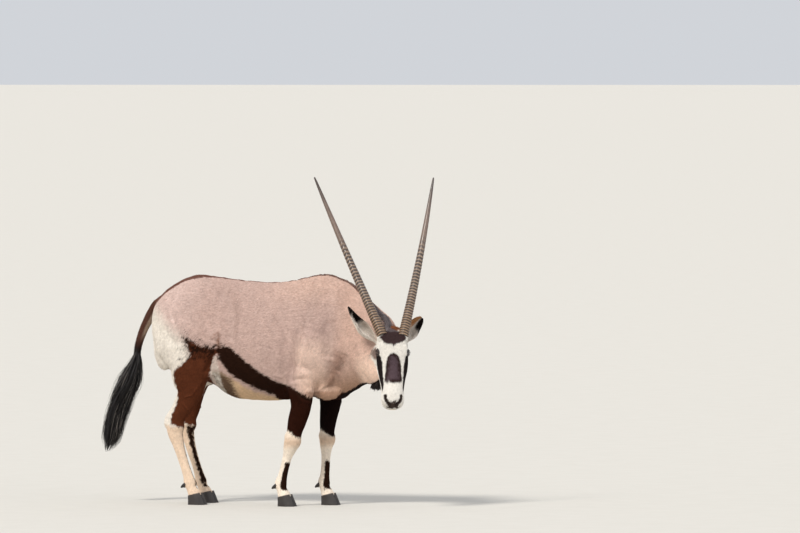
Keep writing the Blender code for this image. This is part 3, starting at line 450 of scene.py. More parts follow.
def rope(centres: Array, radii: Array, around: int) -> Array:
    """Round sections along a path, carried without twist.

    Args:
        centres: places of the path (n, 3).
        radii: a radius at each (n,).
        around: points in each section.

    Returns:
        Places (n, around, 3).
    """
    ahead = unit(np.gradient(centres, axis=0))
    side = np.cross(ahead[0], (0.0, 1.0, 0.0))
    if np.linalg.norm(side) < 0.3:
        side = np.cross(ahead[0], (1.0, 0.0, 0.0))
    sides = np.empty_like(centres)
    for i, way in enumerate(ahead):
        side = unit(side - way * (side @ way))
        sides[i] = side
    other = np.cross(ahead, sides)
    angle = (np.arange(around) * TURN / around)[None, :, None]
    ring = np.cos(angle) * sides[:, None] + np.sin(angle) * other[:, None]
    return centres[:, None] + radii[:, None, None] * ring


def egg(centre: Place, axes: Array, radii: Place, rows: int = 24, around: int = 32) -> Mesh:
    """An egg with its own axes: sine and cosine of two angles, scaled and turned.

    Args:
        centre: its middle.
        axes: three unit directions as rows.
        radii: a radius along each.
        rows: steps from pole to pole.
        around: steps round it.

    Returns:
        Places and three-sided faces.
    """
    down = np.linspace(0.02, math.pi - 0.02, rows)[:, None]
    turn = (np.arange(around) * TURN / around)[None]
    local = np.stack([np.sin(down) * np.cos(turn), np.sin(down) * np.sin(turn), np.cos(down) + 0 * turn], -1)
    return capped(centre + (local * radii) @ axes)


def upright_rings(rows: Array, around: int) -> Array:
    """Upright sections square to the way that x and y of their middles draw.

    Args:
        rows: x, y, top, bottom, height of the widest place, half width, two powers.
        around: points in each section.

    Returns:
        Places (n, around, 3).
    """
    heading = unit(np.gradient(rows[:, :2], axis=0))
    side = np.column_stack([-heading[:, 1], heading[:, 0], np.zeros(len(rows))])
    rise = np.tile(UP, (len(rows), 1))
    sizes = np.column_stack([rows[:, 5], rows[:, 2] - rows[:, 4], rows[:, 4] - rows[:, 3], rows[:, 6:8]])
    return sections(rows[:, [0, 1, 4]], side, rise, sizes, around)


def limb_rings(rows: Array, around: int) -> Array:
    """Sections square to the path of their middles, deep along X and wide along Y.

    Args:
        rows: x, y, z, half depth, half width.
        around: points in each section.

    Returns:
        Places (n, around, 3).
    """
    ahead = unit(np.gradient(rows[:, :3], axis=0))
    deep = unit(np.array([1.0, 0.0, 0.0]) - ahead * ahead[:, :1])
    power = np.full(len(rows), 2.1)
    sizes = np.column_stack([rows[:, 3], rows[:, 4], rows[:, 4], power, power])
    return sections(rows[:, :3], deep, np.cross(ahead, deep), sizes, around)


def swelled(rings: Array, muscles: object) -> Array:
    """Pushes rings sideways by round muscles: each a bell that falls off as exp(-1.3 d^2.6).

    Args:
        rings: places (n, around, 3).
        muscles: rows of x, z, half depth, half height, lean in degrees, height.

    Returns:
        The new places.
    """
    rings = rings.copy()
    offset = rings[..., 1] - rings.mean(axis=1, keepdims=True)[..., 1]
    fade = np.clip(np.abs(offset) / 0.07, 0.0, 1.0) * np.sign(offset)
    for x, z, deep, high, tilt, height in muscles:
        lean = math.radians(tilt)
        dx, dz = rings[..., 0] - x, rings[..., 2] - z
        along = (dz * math.cos(lean) + dx * math.sin(lean)) / high
        across = (dx * math.cos(lean) - dz * math.sin(lean)) / deep
        rings[..., 1] += height * np.exp(-1.3 * (along**2 + across**2) ** 1.3) * fade
    return rings


def tipped(pitch: float) -> Array:
    """Axes turned about Y by this angle, as rows."""
    c, s = math.cos(pitch), math.sin(pitch)
    return np.array([[c, 0.0, -s], [0.0, 1.0, 0.0], [s, 0.0, c]])


# The forms of the body, as closed shapes that overlap


class Side(Enum):
    """The animal's own sides; the value is the sign of Y."""

    LEFT = 1
    RIGHT = -1


@dataclass(frozen=True)
class HeadFrame:
    """The head's own axes: down the face from the poll, out through the brow, and to the left."""

    poll: tuple[float, float, float] = (0.786, -0.22, 0.91)
    turn: float = math.radians(28.0)
    tilt: float = math.radians(17.0)
    roll: float = math.radians(1.3)

    def axes(self) -> Array:
        """Three unit directions as rows: along the face, out through the brow, to the left.

        Returns:
            Directions (3, 3).
        """
        ahead = np.array([math.sin(self.turn), -math.cos(self.turn), 0.0])
        left = np.array([-ahead[1], ahead[0], 0.0])
        down = math.sin(self.tilt) * ahead - math.cos(self.tilt) * UP
        brow = math.cos(self.tilt) * ahead + math.sin(self.tilt) * UP
        along = math.cos(self.roll) * down - math.sin(self.roll) * left
        return np.stack([along, brow, math.cos(self.roll) * left + math.sin(self.roll) * down])

    def place(self, local: object) -> Array:
        """Places given as along, rise and out."""
        return np.array(self.poll) + np.asarray(local, float) @ self.axes()

    def way(self, local: object) -> Array:
        """Directions given as along, rise and out."""
        return np.asarray(local, float) @ self.axes()

    def local(self, points: Array) -> Array:
        """Along, rise and out of each place."""
        return (points - np.array(self.poll)) @ self.axes().T


@dataclass(frozen=True)
class Trunk:
    """The barrel, withers and croup, with the muscles of shoulder and haunch."""

    rows: Rows = (
        (-0.64, 0.0, 1.024, 0.85, 0.94, 0.05, 2.0, 2.0),
        (-0.618, 0.0, 1.069, 0.78, 0.935, 0.098, 2.0, 2.0),
        (-0.57, 0.0, 1.116, 0.71, 0.93, 0.142, 1.9, 2.0),
        (-0.5, 0.0, 1.162, 0.668, 0.93, 0.176, 1.8, 2.0),
        (-0.4, 0.0, 1.196, 0.65, 0.93, 0.196, 1.7, 2.0),
        (-0.3, 0.0, 1.19, 0.622, 0.9, 0.198, 1.65, 2.0),
        (-0.2, 0.0, 1.177, 0.56, 0.85, 0.207, 1.65, 2.0),
        (-0.1, 0.0, 1.167, 0.546, 0.82, 0.22, 1.7, 2.1),
        (0.01, 0.0, 1.161, 0.543, 0.81, 0.229, 1.7, 2.1),
        (0.12, 0.0, 1.167, 0.55, 0.815, 0.222, 1.65, 2.1),
        (0.22, 0.0, 1.187, 0.562, 0.82, 0.198, 1.6, 2.1),
        (0.3, 0.0, 1.202, 0.562, 0.83, 0.176, 1.55, 2.0),
        (0.38, 0.0, 1.194, 0.556, 0.85, 0.158, 1.6, 2.0),
        (0.45, 0.0, 1.155, 0.58, 0.86, 0.134, 1.75, 2.0),
        (0.5, 0.0, 1.08, 0.64, 0.86, 0.1, 2.0, 2.0),
        (0.53, 0.0, 1.0, 0.72, 0.86, 0.055, 2.0, 2.0),
    )
    muscles: Rows = (
        (0.325, 1.01, 0.085, 0.17, -20, 0.014),
        (0.322, 0.805, 0.09, 0.15, -6, 0.04),
        (0.43, 0.8, 0.07, 0.12, 10, 0.02),
        (0.193, 0.8, 0.032, 0.16, 4, -0.017),
        (-0.33, 1.04, 0.11, 0.075, 20, 0.013),
        (-0.44, 0.91, 0.15, 0.18, 0, 0.02),
        (-0.275, 0.8, 0.08, 0.11, -18, 0.02),
        (-0.185, 0.985, 0.075, 0.12, 0, -0.014),
        (-0.06, 0.76, 0.13, 0.12, 0, 0.006),
    )

    def shapes(self) -> list[Mesh]:
        """The barrel, and on each side the chest muscle and the point of the buttock.

        Returns:
            The closed forms.
        """
        made = [capped(swelled(upright_rings(flowing(self.rows, 8), 96), self.muscles))]
        for side in (-1, 1):
            made.append(egg((0.35, side * 0.052, 0.606), np.eye(3), (0.095, 0.056, 0.058)))
            made.append(egg((-0.53, side * 0.085, 0.86), tipped(math.radians(8)), (0.08, 0.062, 0.17)))
        return made


@dataclass(frozen=True)
class Neck:
    """The lowered neck, which bends to the animal's right."""

    rows: Rows = (
        (0.25, 0.0, 1.18, 0.62, 0.9, 0.15, 1.7, 2.0),
        (0.36, 0.0, 1.188, 0.56, 0.87, 0.152, 1.7, 2.0),
        (0.47, -0.01, 1.158, 0.591, 0.85, 0.14, 1.75, 1.9),
        (0.56, -0.04, 1.088, 0.636, 0.83, 0.126, 1.8, 1.9),
        (0.64, -0.08, 1.034, 0.634, 0.82, 0.113, 1.8, 1.9),
        (0.705, -0.125, 1.001, 0.65, 0.805, 0.096, 1.7, 1.9),
        (0.75, -0.168, 0.964, 0.676, 0.79, 0.077, 1.6, 2.0),
        (0.779, -0.203, 0.924, 0.716, 0.79, 0.06, 1.7, 2.0),
    )
    muscles: Rows = (
        (0.43, 0.79, 0.075, 0.12, 10, 0.02),
        (0.56, 0.76, 0.12, 0.06, 60, 0.01),
        (0.56, 0.93, 0.13, 0.07, 60, 0.008),
        (0.6, 0.845, 0.13, 0.03, 60, -0.006),
    )

    def shapes(self) -> list[Mesh]:
        """The neck from the shoulders to behind the skull."""
        return [capped(swelled(upright_rings(flowing(self.rows, 8), 72), self.muscles))]

    def middle(self, x: Array) -> Array:
        """Y of the neck's middle at each x."""
        table = np.array(self.rows)
        return np.interp(x, table[:, 0], table[:, 1])

    def underside(self) -> Array:
        """Places along the middle of the throat and underneck."""
        table = flowing(self.rows[1:], 3)
        return table[:, [0, 1, 3]]


@dataclass(frozen=True)
class Leg:
    """One leg from the trunk to the coronet: x, y, z, half depth, half width of its sections."""

    name: str
    rows: Rows
    hind: bool

    def side(self) -> int:
        """The sign of Y."""
        return 1 if self.rows[0][1] > 0 else -1

    def at(self, z: Array) -> Array:
        """Middle x and y, half depth and half width at each height (n, 4)."""
        table = np.array(self.rows)[::-1]
        return at_shares(table[:, 2], table[:, [0, 1, 3, 4]], z)

    def shapes(self) -> list[Mesh]:
        """The limb, with hock and its sinew, or knee and elbow.

        Returns:
            The closed forms.
        """
        rows = [np.array(row) for row in self.rows]
        made = [capped(limb_rings(flowing(self.rows, 5), 36))]
        if self.hind:
            hock, top = rows[8][:3], rows[5][:3] + (-0.04, 0.0, 0.0)
            heel = hock + (-0.052, 0.0, 0.0)
            path = top + (heel - top) * np.linspace(0, 1, 12)[:, None]
            thick = np.interp(np.linspace(0, 5, 12), range(6), (0.03, 0.022, 0.016, 0.014, 0.015, 0.018))
            made.append(capped(rope(path, thick, 20)))
            made.append(egg(heel + (0.004, 0.0, -0.012), tipped(math.radians(12)), (0.022, 0.021, 0.04)))
            made.append(egg(hock + (-0.004, 0.0, -0.035), np.eye(3), (0.046, 0.0375, 0.05)))
        else:
            knee, elbow = rows[6][:3], rows[1][:3]
            made.append(egg(knee + (0.01, 0.0, 0.0), np.eye(3), (0.036, 0.04, 0.05)))
            made.append(egg(knee + (-0.024, 0.0, 0.016), np.eye(3), (0.02, 0.022, 0.03)))
            made.append(egg(elbow + (-0.068, self.side() * 0.006, 0.01), np.eye(3), (0.034, 0.032, 0.05)))
        return made


FRONT_RIGHT = Leg(
    "front_right",
    (
        (0.255, -0.112, 0.78, 0.09, 0.048),
        (0.24, -0.142, 0.69, 0.09, 0.054),
        (0.243, -0.143, 0.6, 0.07, 0.053),
        (0.239, -0.137, 0.52, 0.055, 0.046),
        (0.214, -0.13, 0.44, 0.049, 0.039),
        (0.197, -0.125, 0.385, 0.041, 0.036),
        (0.186, -0.122, 0.345, 0.042, 0.039),
        (0.172, -0.12, 0.305, 0.037, 0.035),
        (0.157, -0.118, 0.262, 0.026, 0.0245),
        (0.14, -0.116, 0.205, 0.024, 0.0205),
        (0.125, -0.114, 0.15, 0.0265, 0.022),
        (0.116, -0.113, 0.115, 0.033, 0.0275),
        (0.121, -0.113, 0.088, 0.0265, 0.026),
        (0.132, -0.113, 0.062, 0.033, 0.032),
        (0.139, -0.113, 0.04, 0.036, 0.033),
    ),
    False,
)

FRONT_LEFT = Leg(
    "front_left",
    (
        (0.3, 0.11, 0.78, 0.09, 0.048),
        (0.297, 0.138, 0.69, 0.086, 0.054),
        (0.296, 0.139, 0.6, 0.07, 0.052),
        (0.292, 0.132, 0.52, 0.056, 0.045),
        (0.283, 0.126, 0.44, 0.045, 0.038),
        (0.279, 0.123, 0.385, 0.039, 0.036),
        (0.277, 0.121, 0.345, 0.0385, 0.038),
        (0.276, 0.119, 0.305, 0.033, 0.034),
        (0.274, 0.118, 0.262, 0.0255, 0.024),
        (0.272, 0.117, 0.205, 0.024, 0.0205),
        (0.268, 0.116, 0.15, 0.026, 0.022),
        (0.264, 0.115, 0.115, 0.033, 0.0275),
        (0.27, 0.115, 0.088, 0.0265, 0.026),
        (0.282, 0.115, 0.062, 0.033, 0.032),
        (0.289, 0.115, 0.04, 0.036, 0.033),
    ),
    False,
)

HIND_RIGHT = Leg(
    "hind_right",
    (
        (-0.425, -0.08, 0.98, 0.18, 0.085),
        (-0.418, -0.112, 0.88, 0.186, 0.082),
        (-0.389, -0.132, 0.79, 0.158, 0.073),
        (-0.378, -0.142, 0.715, 0.124, 0.064),
        (-0.384, -0.143, 0.645, 0.098, 0.055),
        (-0.386, -0.139, 0.59, 0.076, 0.047),
        (-0.406, -0.134, 0.54, 0.06, 0.041),
        (-0.438, -0.129, 0.49, 0.047, 0.036),
        (-0.466, -0.126, 0.445, 0.044, 0.034),
        (-0.478, -0.124, 0.405, 0.045, 0.034),
        (-0.473, -0.122, 0.36, 0.039, 0.032),
        (-0.46, -0.12, 0.315, 0.031, 0.0275),
        (-0.44, -0.118, 0.25, 0.0265, 0.023),
        (-0.418, -0.117, 0.185, 0.0255, 0.0215),
        (-0.403, -0.116, 0.14, 0.0285, 0.0235),
        (-0.396, -0.116, 0.112, 0.0335, 0.0275),
        (-0.387, -0.116, 0.085, 0.027, 0.026),
        (-0.373, -0.116, 0.06, 0.033, 0.0315),
        (-0.366, -0.116, 0.04, 0.036, 0.0325),
    ),
    True,
)

FAR_HIND_HEIGHTS = (0.0, 0.15, 0.45, 0.5, 0.55, 0.6, 0.66, 0.72, 0.8, 0.9)
FAR_HIND_BACK = (0.034, 0.038, 0.04, 0.056, 0.086, 0.1, 0.088, 0.048, 0.012, 0.0)


def mirrored_hind() -> Leg:
    """The left hind leg: the right one mirrored and set back by a table of heights.

    Returns:
        The leg.
    """
    rows = []
    for x, y, z, deep, wide in HIND_RIGHT.rows:
        back = float(np.interp(z, FAR_HIND_HEIGHTS, FAR_HIND_BACK))
        rows.append((x - back, -y, z, deep * (1 - back), wide))
    return Leg("hind_left", tuple(rows), True)


LEGS = (FRONT_RIGHT, FRONT_LEFT, HIND_RIGHT, mirrored_hind())


@dataclass(frozen=True)
class Head:
    """The skull and muzzle in the head's own axes, and where the eyes sit."""

    frame: HeadFrame = HeadFrame()
    rows: Rows = (
        (-0.045, -0.03, -0.11, -0.07, 0.046, 2.0, 2.0),
        (-0.018, 0.0, -0.145, -0.065, 0.066, 2.0, 2.0),
        (0.02, 0.018, -0.16, -0.055, 0.078, 2.1, 1.9),
        (0.062, 0.027, -0.166, -0.045, 0.081, 2.1, 1.7),
        (0.102, 0.03, -0.164, -0.038, 0.083, 2.1, 1.6),
        (0.145, 0.029, -0.154, -0.04, 0.082, 2.0, 1.7),
        (0.19, 0.025, -0.136, -0.042, 0.078, 2.0, 1.8),
        (0.24, 0.019, -0.116, -0.042, 0.067, 2.0, 2.0),
        (0.288, 0.013, -0.101, -0.04, 0.06, 2.1, 2.1),
        (0.323, 0.007, -0.093, -0.041, 0.058, 2.2, 2.2),
        (0.348, -0.002, -0.089, -0.043, 0.059, 2.3, 2.3),
        (0.369, -0.012, -0.086, -0.047, 0.056, 2.3, 2.3),
        (0.384, -0.026, -0.083, -0.054, 0.044, 2.2, 2.2),
        (0.392, -0.04, -0.078, -0.06, 0.026, 2.0, 2.0),
    )
    eye_along: float = 0.102
    eye_out: float = 0.0665
    eye_rise: float = -0.016
    eye_radius: float = 0.019
    middle: tuple[float, float, float] = (0.16, -0.06, 0.0)

    def egg_at(self, along: float, rise: float, out: float, radii: tuple[float, ...]) -> Mesh:
        """An egg along the head's own axes."""
        return egg(self.frame.place((along, rise, out)), self.frame.axes(), radii)

    def eye_centre(self, side: Side) -> Array:
        """The middle of an eyeball."""
        return self.frame.place((self.eye_along, self.eye_rise, side.value * self.eye_out))

    def eye_axes(self, side: Side) -> Array:
        """Rows: the way the eye looks, down the face, and across both.

        Args:
            side: which eye.

        Returns:
            Directions (3, 3).
        """
        look = unit(self.frame.way((0.1, 0.36, side.value * 0.93)))
        down = self.frame.way((1.0, 0.0, 0.0))
        down = unit(down - look * (down @ look))
        return np.stack([look, down, np.cross(look, down)])

    def shapes(self) -> list[Mesh]:
        """Skull and muzzle, brows, cheeks, horn roots, lips and chin.

        Returns:
            The closed forms.
        """
        rows = flowing(self.rows, 6)
        count = len(rows)
        centre = self.frame.place(np.column_stack([rows[:, 0], rows[:, 3], np.zeros(count)]))
        left = np.tile(self.frame.way((0, 0, 1)), (count, 1))
        brow = np.tile(self.frame.way((0, 1, 0)), (count, 1))
        sizes = np.column_stack([rows[:, 4], rows[:, 1] - rows[:, 3], rows[:, 3] - rows[:, 2], rows[:, 5:7]])
        made = [capped(sections(centre, left, brow, sizes, 64))]
        for s in (-1, 1):
            brow_place = (self.eye_along - 0.006, self.eye_rise + 0.006, s * (self.eye_out - 0.013))
            made.append(self.egg_at(*brow_place, (0.046, 0.026, 0.027)))
            made.append(self.egg_at(0.15, -0.1, s * 0.047, (0.08, 0.056, 0.027)))
            made.append(self.egg_at(0.022, -0.012, s * 0.05, (0.034, 0.026, 0.032)))
            made.append(self.egg_at(0.343, -0.03, s * 0.033, (0.034, 0.026, 0.026)))
            made.append(self.egg_at(0.343, -0.062, s * 0.033, (0.038, 0.02, 0.025)))
        made.append(self.egg_at(0.358, -0.08, 0.0, (0.028, 0.014, 0.03)))
        return made


HEAD = Head()
NECK = Neck()
TRUNK = Trunk()


def crest_path() -> Array:
    """Places along the top line from the root of the tail to the poll."""
    return np.vstack([flowing([row[:3] for row in rows], 3) for rows in (TRUNK.rows[:13], NECK.rows[2:])])


def off_crest(p: Array) -> Array:
    """Distance from the crest, which keeps to the near side of the neck's middle towards the poll."""
    aside = np.outer(eased(0.58, 0.7, p[:, 0]), (0.0, 0.022, 0.0))
    return path_distance(p + aside, crest_path())[0]


def head_plane(points: Array) -> Array:
    """Distance in front of the tilted plane where the head leaves the neck.

    Args:
        points: places (n, 3).

    Returns:
        n distances.
    """
    heading, tilt = math.radians(-48.0), math.radians(28.8)
    ahead = np.array([math.cos(heading), math.sin(heading), 0.0])
    normal = math.cos(tilt) * ahead - math.sin(tilt) * UP
    return (points - (np.array(HEAD.frame.poll) - 0.034 * ahead)) @ normal


def on_head(p: Array) -> Array:
    """Whether each place lies on the head."""
    return (head_plane(p) > 0) & (p[:, 0] > 0.5)


def mirrored(local: Array) -> Array:
    """Places of the head's own frame with its right side folded onto the left."""
    return np.column_stack([local[:, 0], local[:, 1], np.abs(local[:, 2])])


def off_mouth(local: Array) -> Array:
    """Height off the line of the mouth, for places of the head's own frame."""
    return np.abs(local[:, 1] + 0.057 + 0.1 * (local[:, 0] - 0.33))


def in_pad(local: Array) -> Array:
    """Signed distance inside the bare pad between the nostrils."""
    wide = 0.028 - np.abs(local[:, 2])
    return np.minimum(wide, np.minimum(local[:, 0] - 0.361, local[:, 1] + 0.047))


# Folds


@dataclass(frozen=True)
class Fold:
    """A groove or ridge drawn in the side plane on both flanks: its path, half width and height."""

    path: Rows
    width: float
    height: float


FOLDS: tuple[Fold, ...] = (
    Fold(((0.268, 0.967), (0.25, 0.88), (0.231, 0.801), (0.21, 0.718), (0.204, 0.666), (0.212, 0.64)),
         0.017, -0.015),
    Fold(((0.3, 0.93), (0.285, 0.86), (0.268, 0.79), (0.255, 0.72), (0.262, 0.66)), 0.036, 0.013),
    Fold(((0.225, 0.64), (0.237, 0.612), (0.258, 0.572), (0.29, 0.556), (0.349, 0.547)), 0.009, -0.006),
    Fold(((-0.201, 0.91), (-0.2, 0.84), (-0.226, 0.785), (-0.262, 0.733), (-0.29, 0.67)), 0.013, -0.011),
    Fold(((-0.295, 0.656), (-0.355, 0.572), (-0.407, 0.559)), 0.0045, 0.004),
    Fold(((-0.415, 0.538), (-0.363, 0.455)), 0.0045, 0.0036),
    Fold(((-0.425, 0.6), (-0.447, 0.54), (-0.472, 0.47)), 0.007, -0.0035),
    Fold(((-0.23, 1.12), (-0.18, 1.09), (-0.153, 1.045), (-0.128, 0.982), (-0.12, 0.9), (-0.14, 0.85)),
         0.03, -0.011),
    Fold(((-0.29, 1.08), (-0.23, 1.01), (-0.215, 0.93), (-0.24, 0.86)), 0.05, 0.011),
    Fold(((0.01, 0.88), (-0.02, 0.84), (-0.05, 0.785)), 0.01, -0.0024),
    Fold(((0.05, 0.85), (0.025, 0.8), (0.0, 0.75)), 0.01, -0.0024),
    Fold(((0.11, 0.83), (0.08, 0.77), (0.062, 0.715)), 0.01, -0.0024),
    Fold(((0.18, 0.7), (0.15, 0.672), (0.1, 0.69)), 0.007, 0.003),
    Fold(((0.33, 1.13), (0.3, 1.02), (0.29, 0.94)), 0.034, -0.008),
    Fold(((0.395, 0.98), (0.415, 0.86), (0.405, 0.76)), 0.028, -0.011),
    Fold(((0.42, 0.69), (0.38, 0.64), (0.33, 0.61), (0.28, 0.6)), 0.01, 0.007),
    Fold(((0.5, 0.8), (0.48, 0.74), (0.44, 0.69)), 0.018, -0.009),
    Fold(((-0.3, 1.1), (-0.39, 1.01), (-0.47, 0.96)), 0.034, -0.007),
)


def side_plane(p: Array) -> Array:
    """Places as (x, z) of the near side, with the far legs slid onto the near ones.

    Args:
        p: places (n, 3).

    Returns:
        Places (n, 2).
    """
    far = p[:, 1] > 0
    fore = np.where(far, FRONT_LEFT.at(p[:, 2])[:, 0] - FRONT_RIGHT.at(p[:, 2])[:, 0], 0.0)
    hind = np.where(far, np.interp(p[:, 2], FAR_HIND_HEIGHTS, FAR_HIND_BACK), 0.0)
    ahead = -fore * eased(0.64, 0.54, p[:, 2]) * (p[:, 0] > 0)
    return np.column_stack([p[:, 0] + ahead + hind * eased(-0.1, -0.2, p[:, 0]), p[:, 2]])


def creased(p: Array, side: Array) -> tuple[Array, Array]:
    """How far the folds lift the skin, and the painted shade and light they lay on the coat: darker where it
    sinks, paler on its rims.

    Args:
        p: places (n, 3), in the working frame.
        side: share of each place that faces sideways.

    Returns:
        Metres of lift, and a factor of the coat's colour that paints this shade and light.
    """
    flat = side_plane(p)
    lift, shade = np.zeros(len(p)), np.ones(len(p))
    for fold in FOLDS:
        away, share = path_distance(flat, fold.path)
        ends = eased(0.0, 0.12, share) * eased(1.0, 0.88, share) * side
        bump = bell(away, fold.width) * ends
        lift += fold.height * bump
        # painted shade in each groove and painted light on each ridge
        shade += 0.11 * float(np.clip(fold.height / 0.01, -1.0, 0.45)) * bump
    return lift, shade


# Markings


@dataclass(frozen=True)
class Palette:
    """Coat colours, named for where they grow; some also hold painted light and shade, as noted at each."""

    withers: str = "C7AA9C"
    flank: str = "BBA197"
    rump: str = "CEB6AD"
    neck: str = "CCAE9F"
    # painted shade: a darker tone for the low chest, under the neck and shoulder
    chest: str = "B2907A"
    # painted light: a pale tone that lifts the low neck by the jaw and the low shoulder, which face down into
    # shade
    jowl_painted_light: str = "EED3C1"
    cream: str = "DFD7CC"
    belly: str = "CDB08F"
    # painted shade in the fold between belly and thigh
    groin_shade: str = "624D3D"
    shank: str = "E6D9C9"
    hock: str = "DEC7B0"
    face: str = "DCD7CF"
    chin: str = "CDB893"
    haunch: str = "542C1A"
    band: str = "221007"
    forearm: str = "291007"
    # the forearm's dark, deepened by painted shade for the far side
    forearm_far_shade: str = "140806"
    throat: str = "1C1513"
    forehead: str = "3E2F2F"
    # the nose patch's dark hair with a painted highlight, for the middle of the patch
    blaze: str = "534449"
    stripe: str = "211A19"
    spine: str = "6B4A40"
    # the crest's dark mane hair, greyed by painted shade and a painted bluish reflection of the sky
    crest: str = "5F5556"
    pad: str = "3B302A"
    lip: str = "2A211D"
    # painted shade in the flank fold and in the neck's furrow
    fold: str = "8A6857"
    blaze_edge: str = "2A1B18"
    jaw: str = "84726A"
    poll: str = "6F4229"
    knee: str = "B98A5C"


@dataclass(frozen=True)
class Spots:
    """Places on the skin, and what the markings ask of each."""

    p: Array
    n: Array
    local: Array
    head: Array
    leg: Array
    out: Array

    @classmethod
    def of(cls, p: Array, n: Array) -> Spots:
        """Works out what each place is.

        Args:
            p: places (n, 3), in the working frame.
            n: normals there.

        Returns:
            The spots, with places in the head's own frame, and shares of head, leg and facing sideways.
        """
        local = HEAD.frame.local(p)
        near = np.linalg.norm(local - HEAD.middle, axis=1)
        head = eased(-0.012, 0.012, head_plane(p)) * (near < 0.36)
        leg = eased(0.66, 0.5, p[:, 2]) * (1 - head) * (np.abs(n[:, 2]) < 0.9)
        return cls(p, n, local, head, leg, n[:, 1] * np.where(p[:, 1] > 0, 1.0, -1.0))


@dataclass
class Marks:
    """The finished colour of each place of the coat, which way its hair lies, and its shares."""

    colour: Array
    lie: Array
    head: Array
    leg: Array


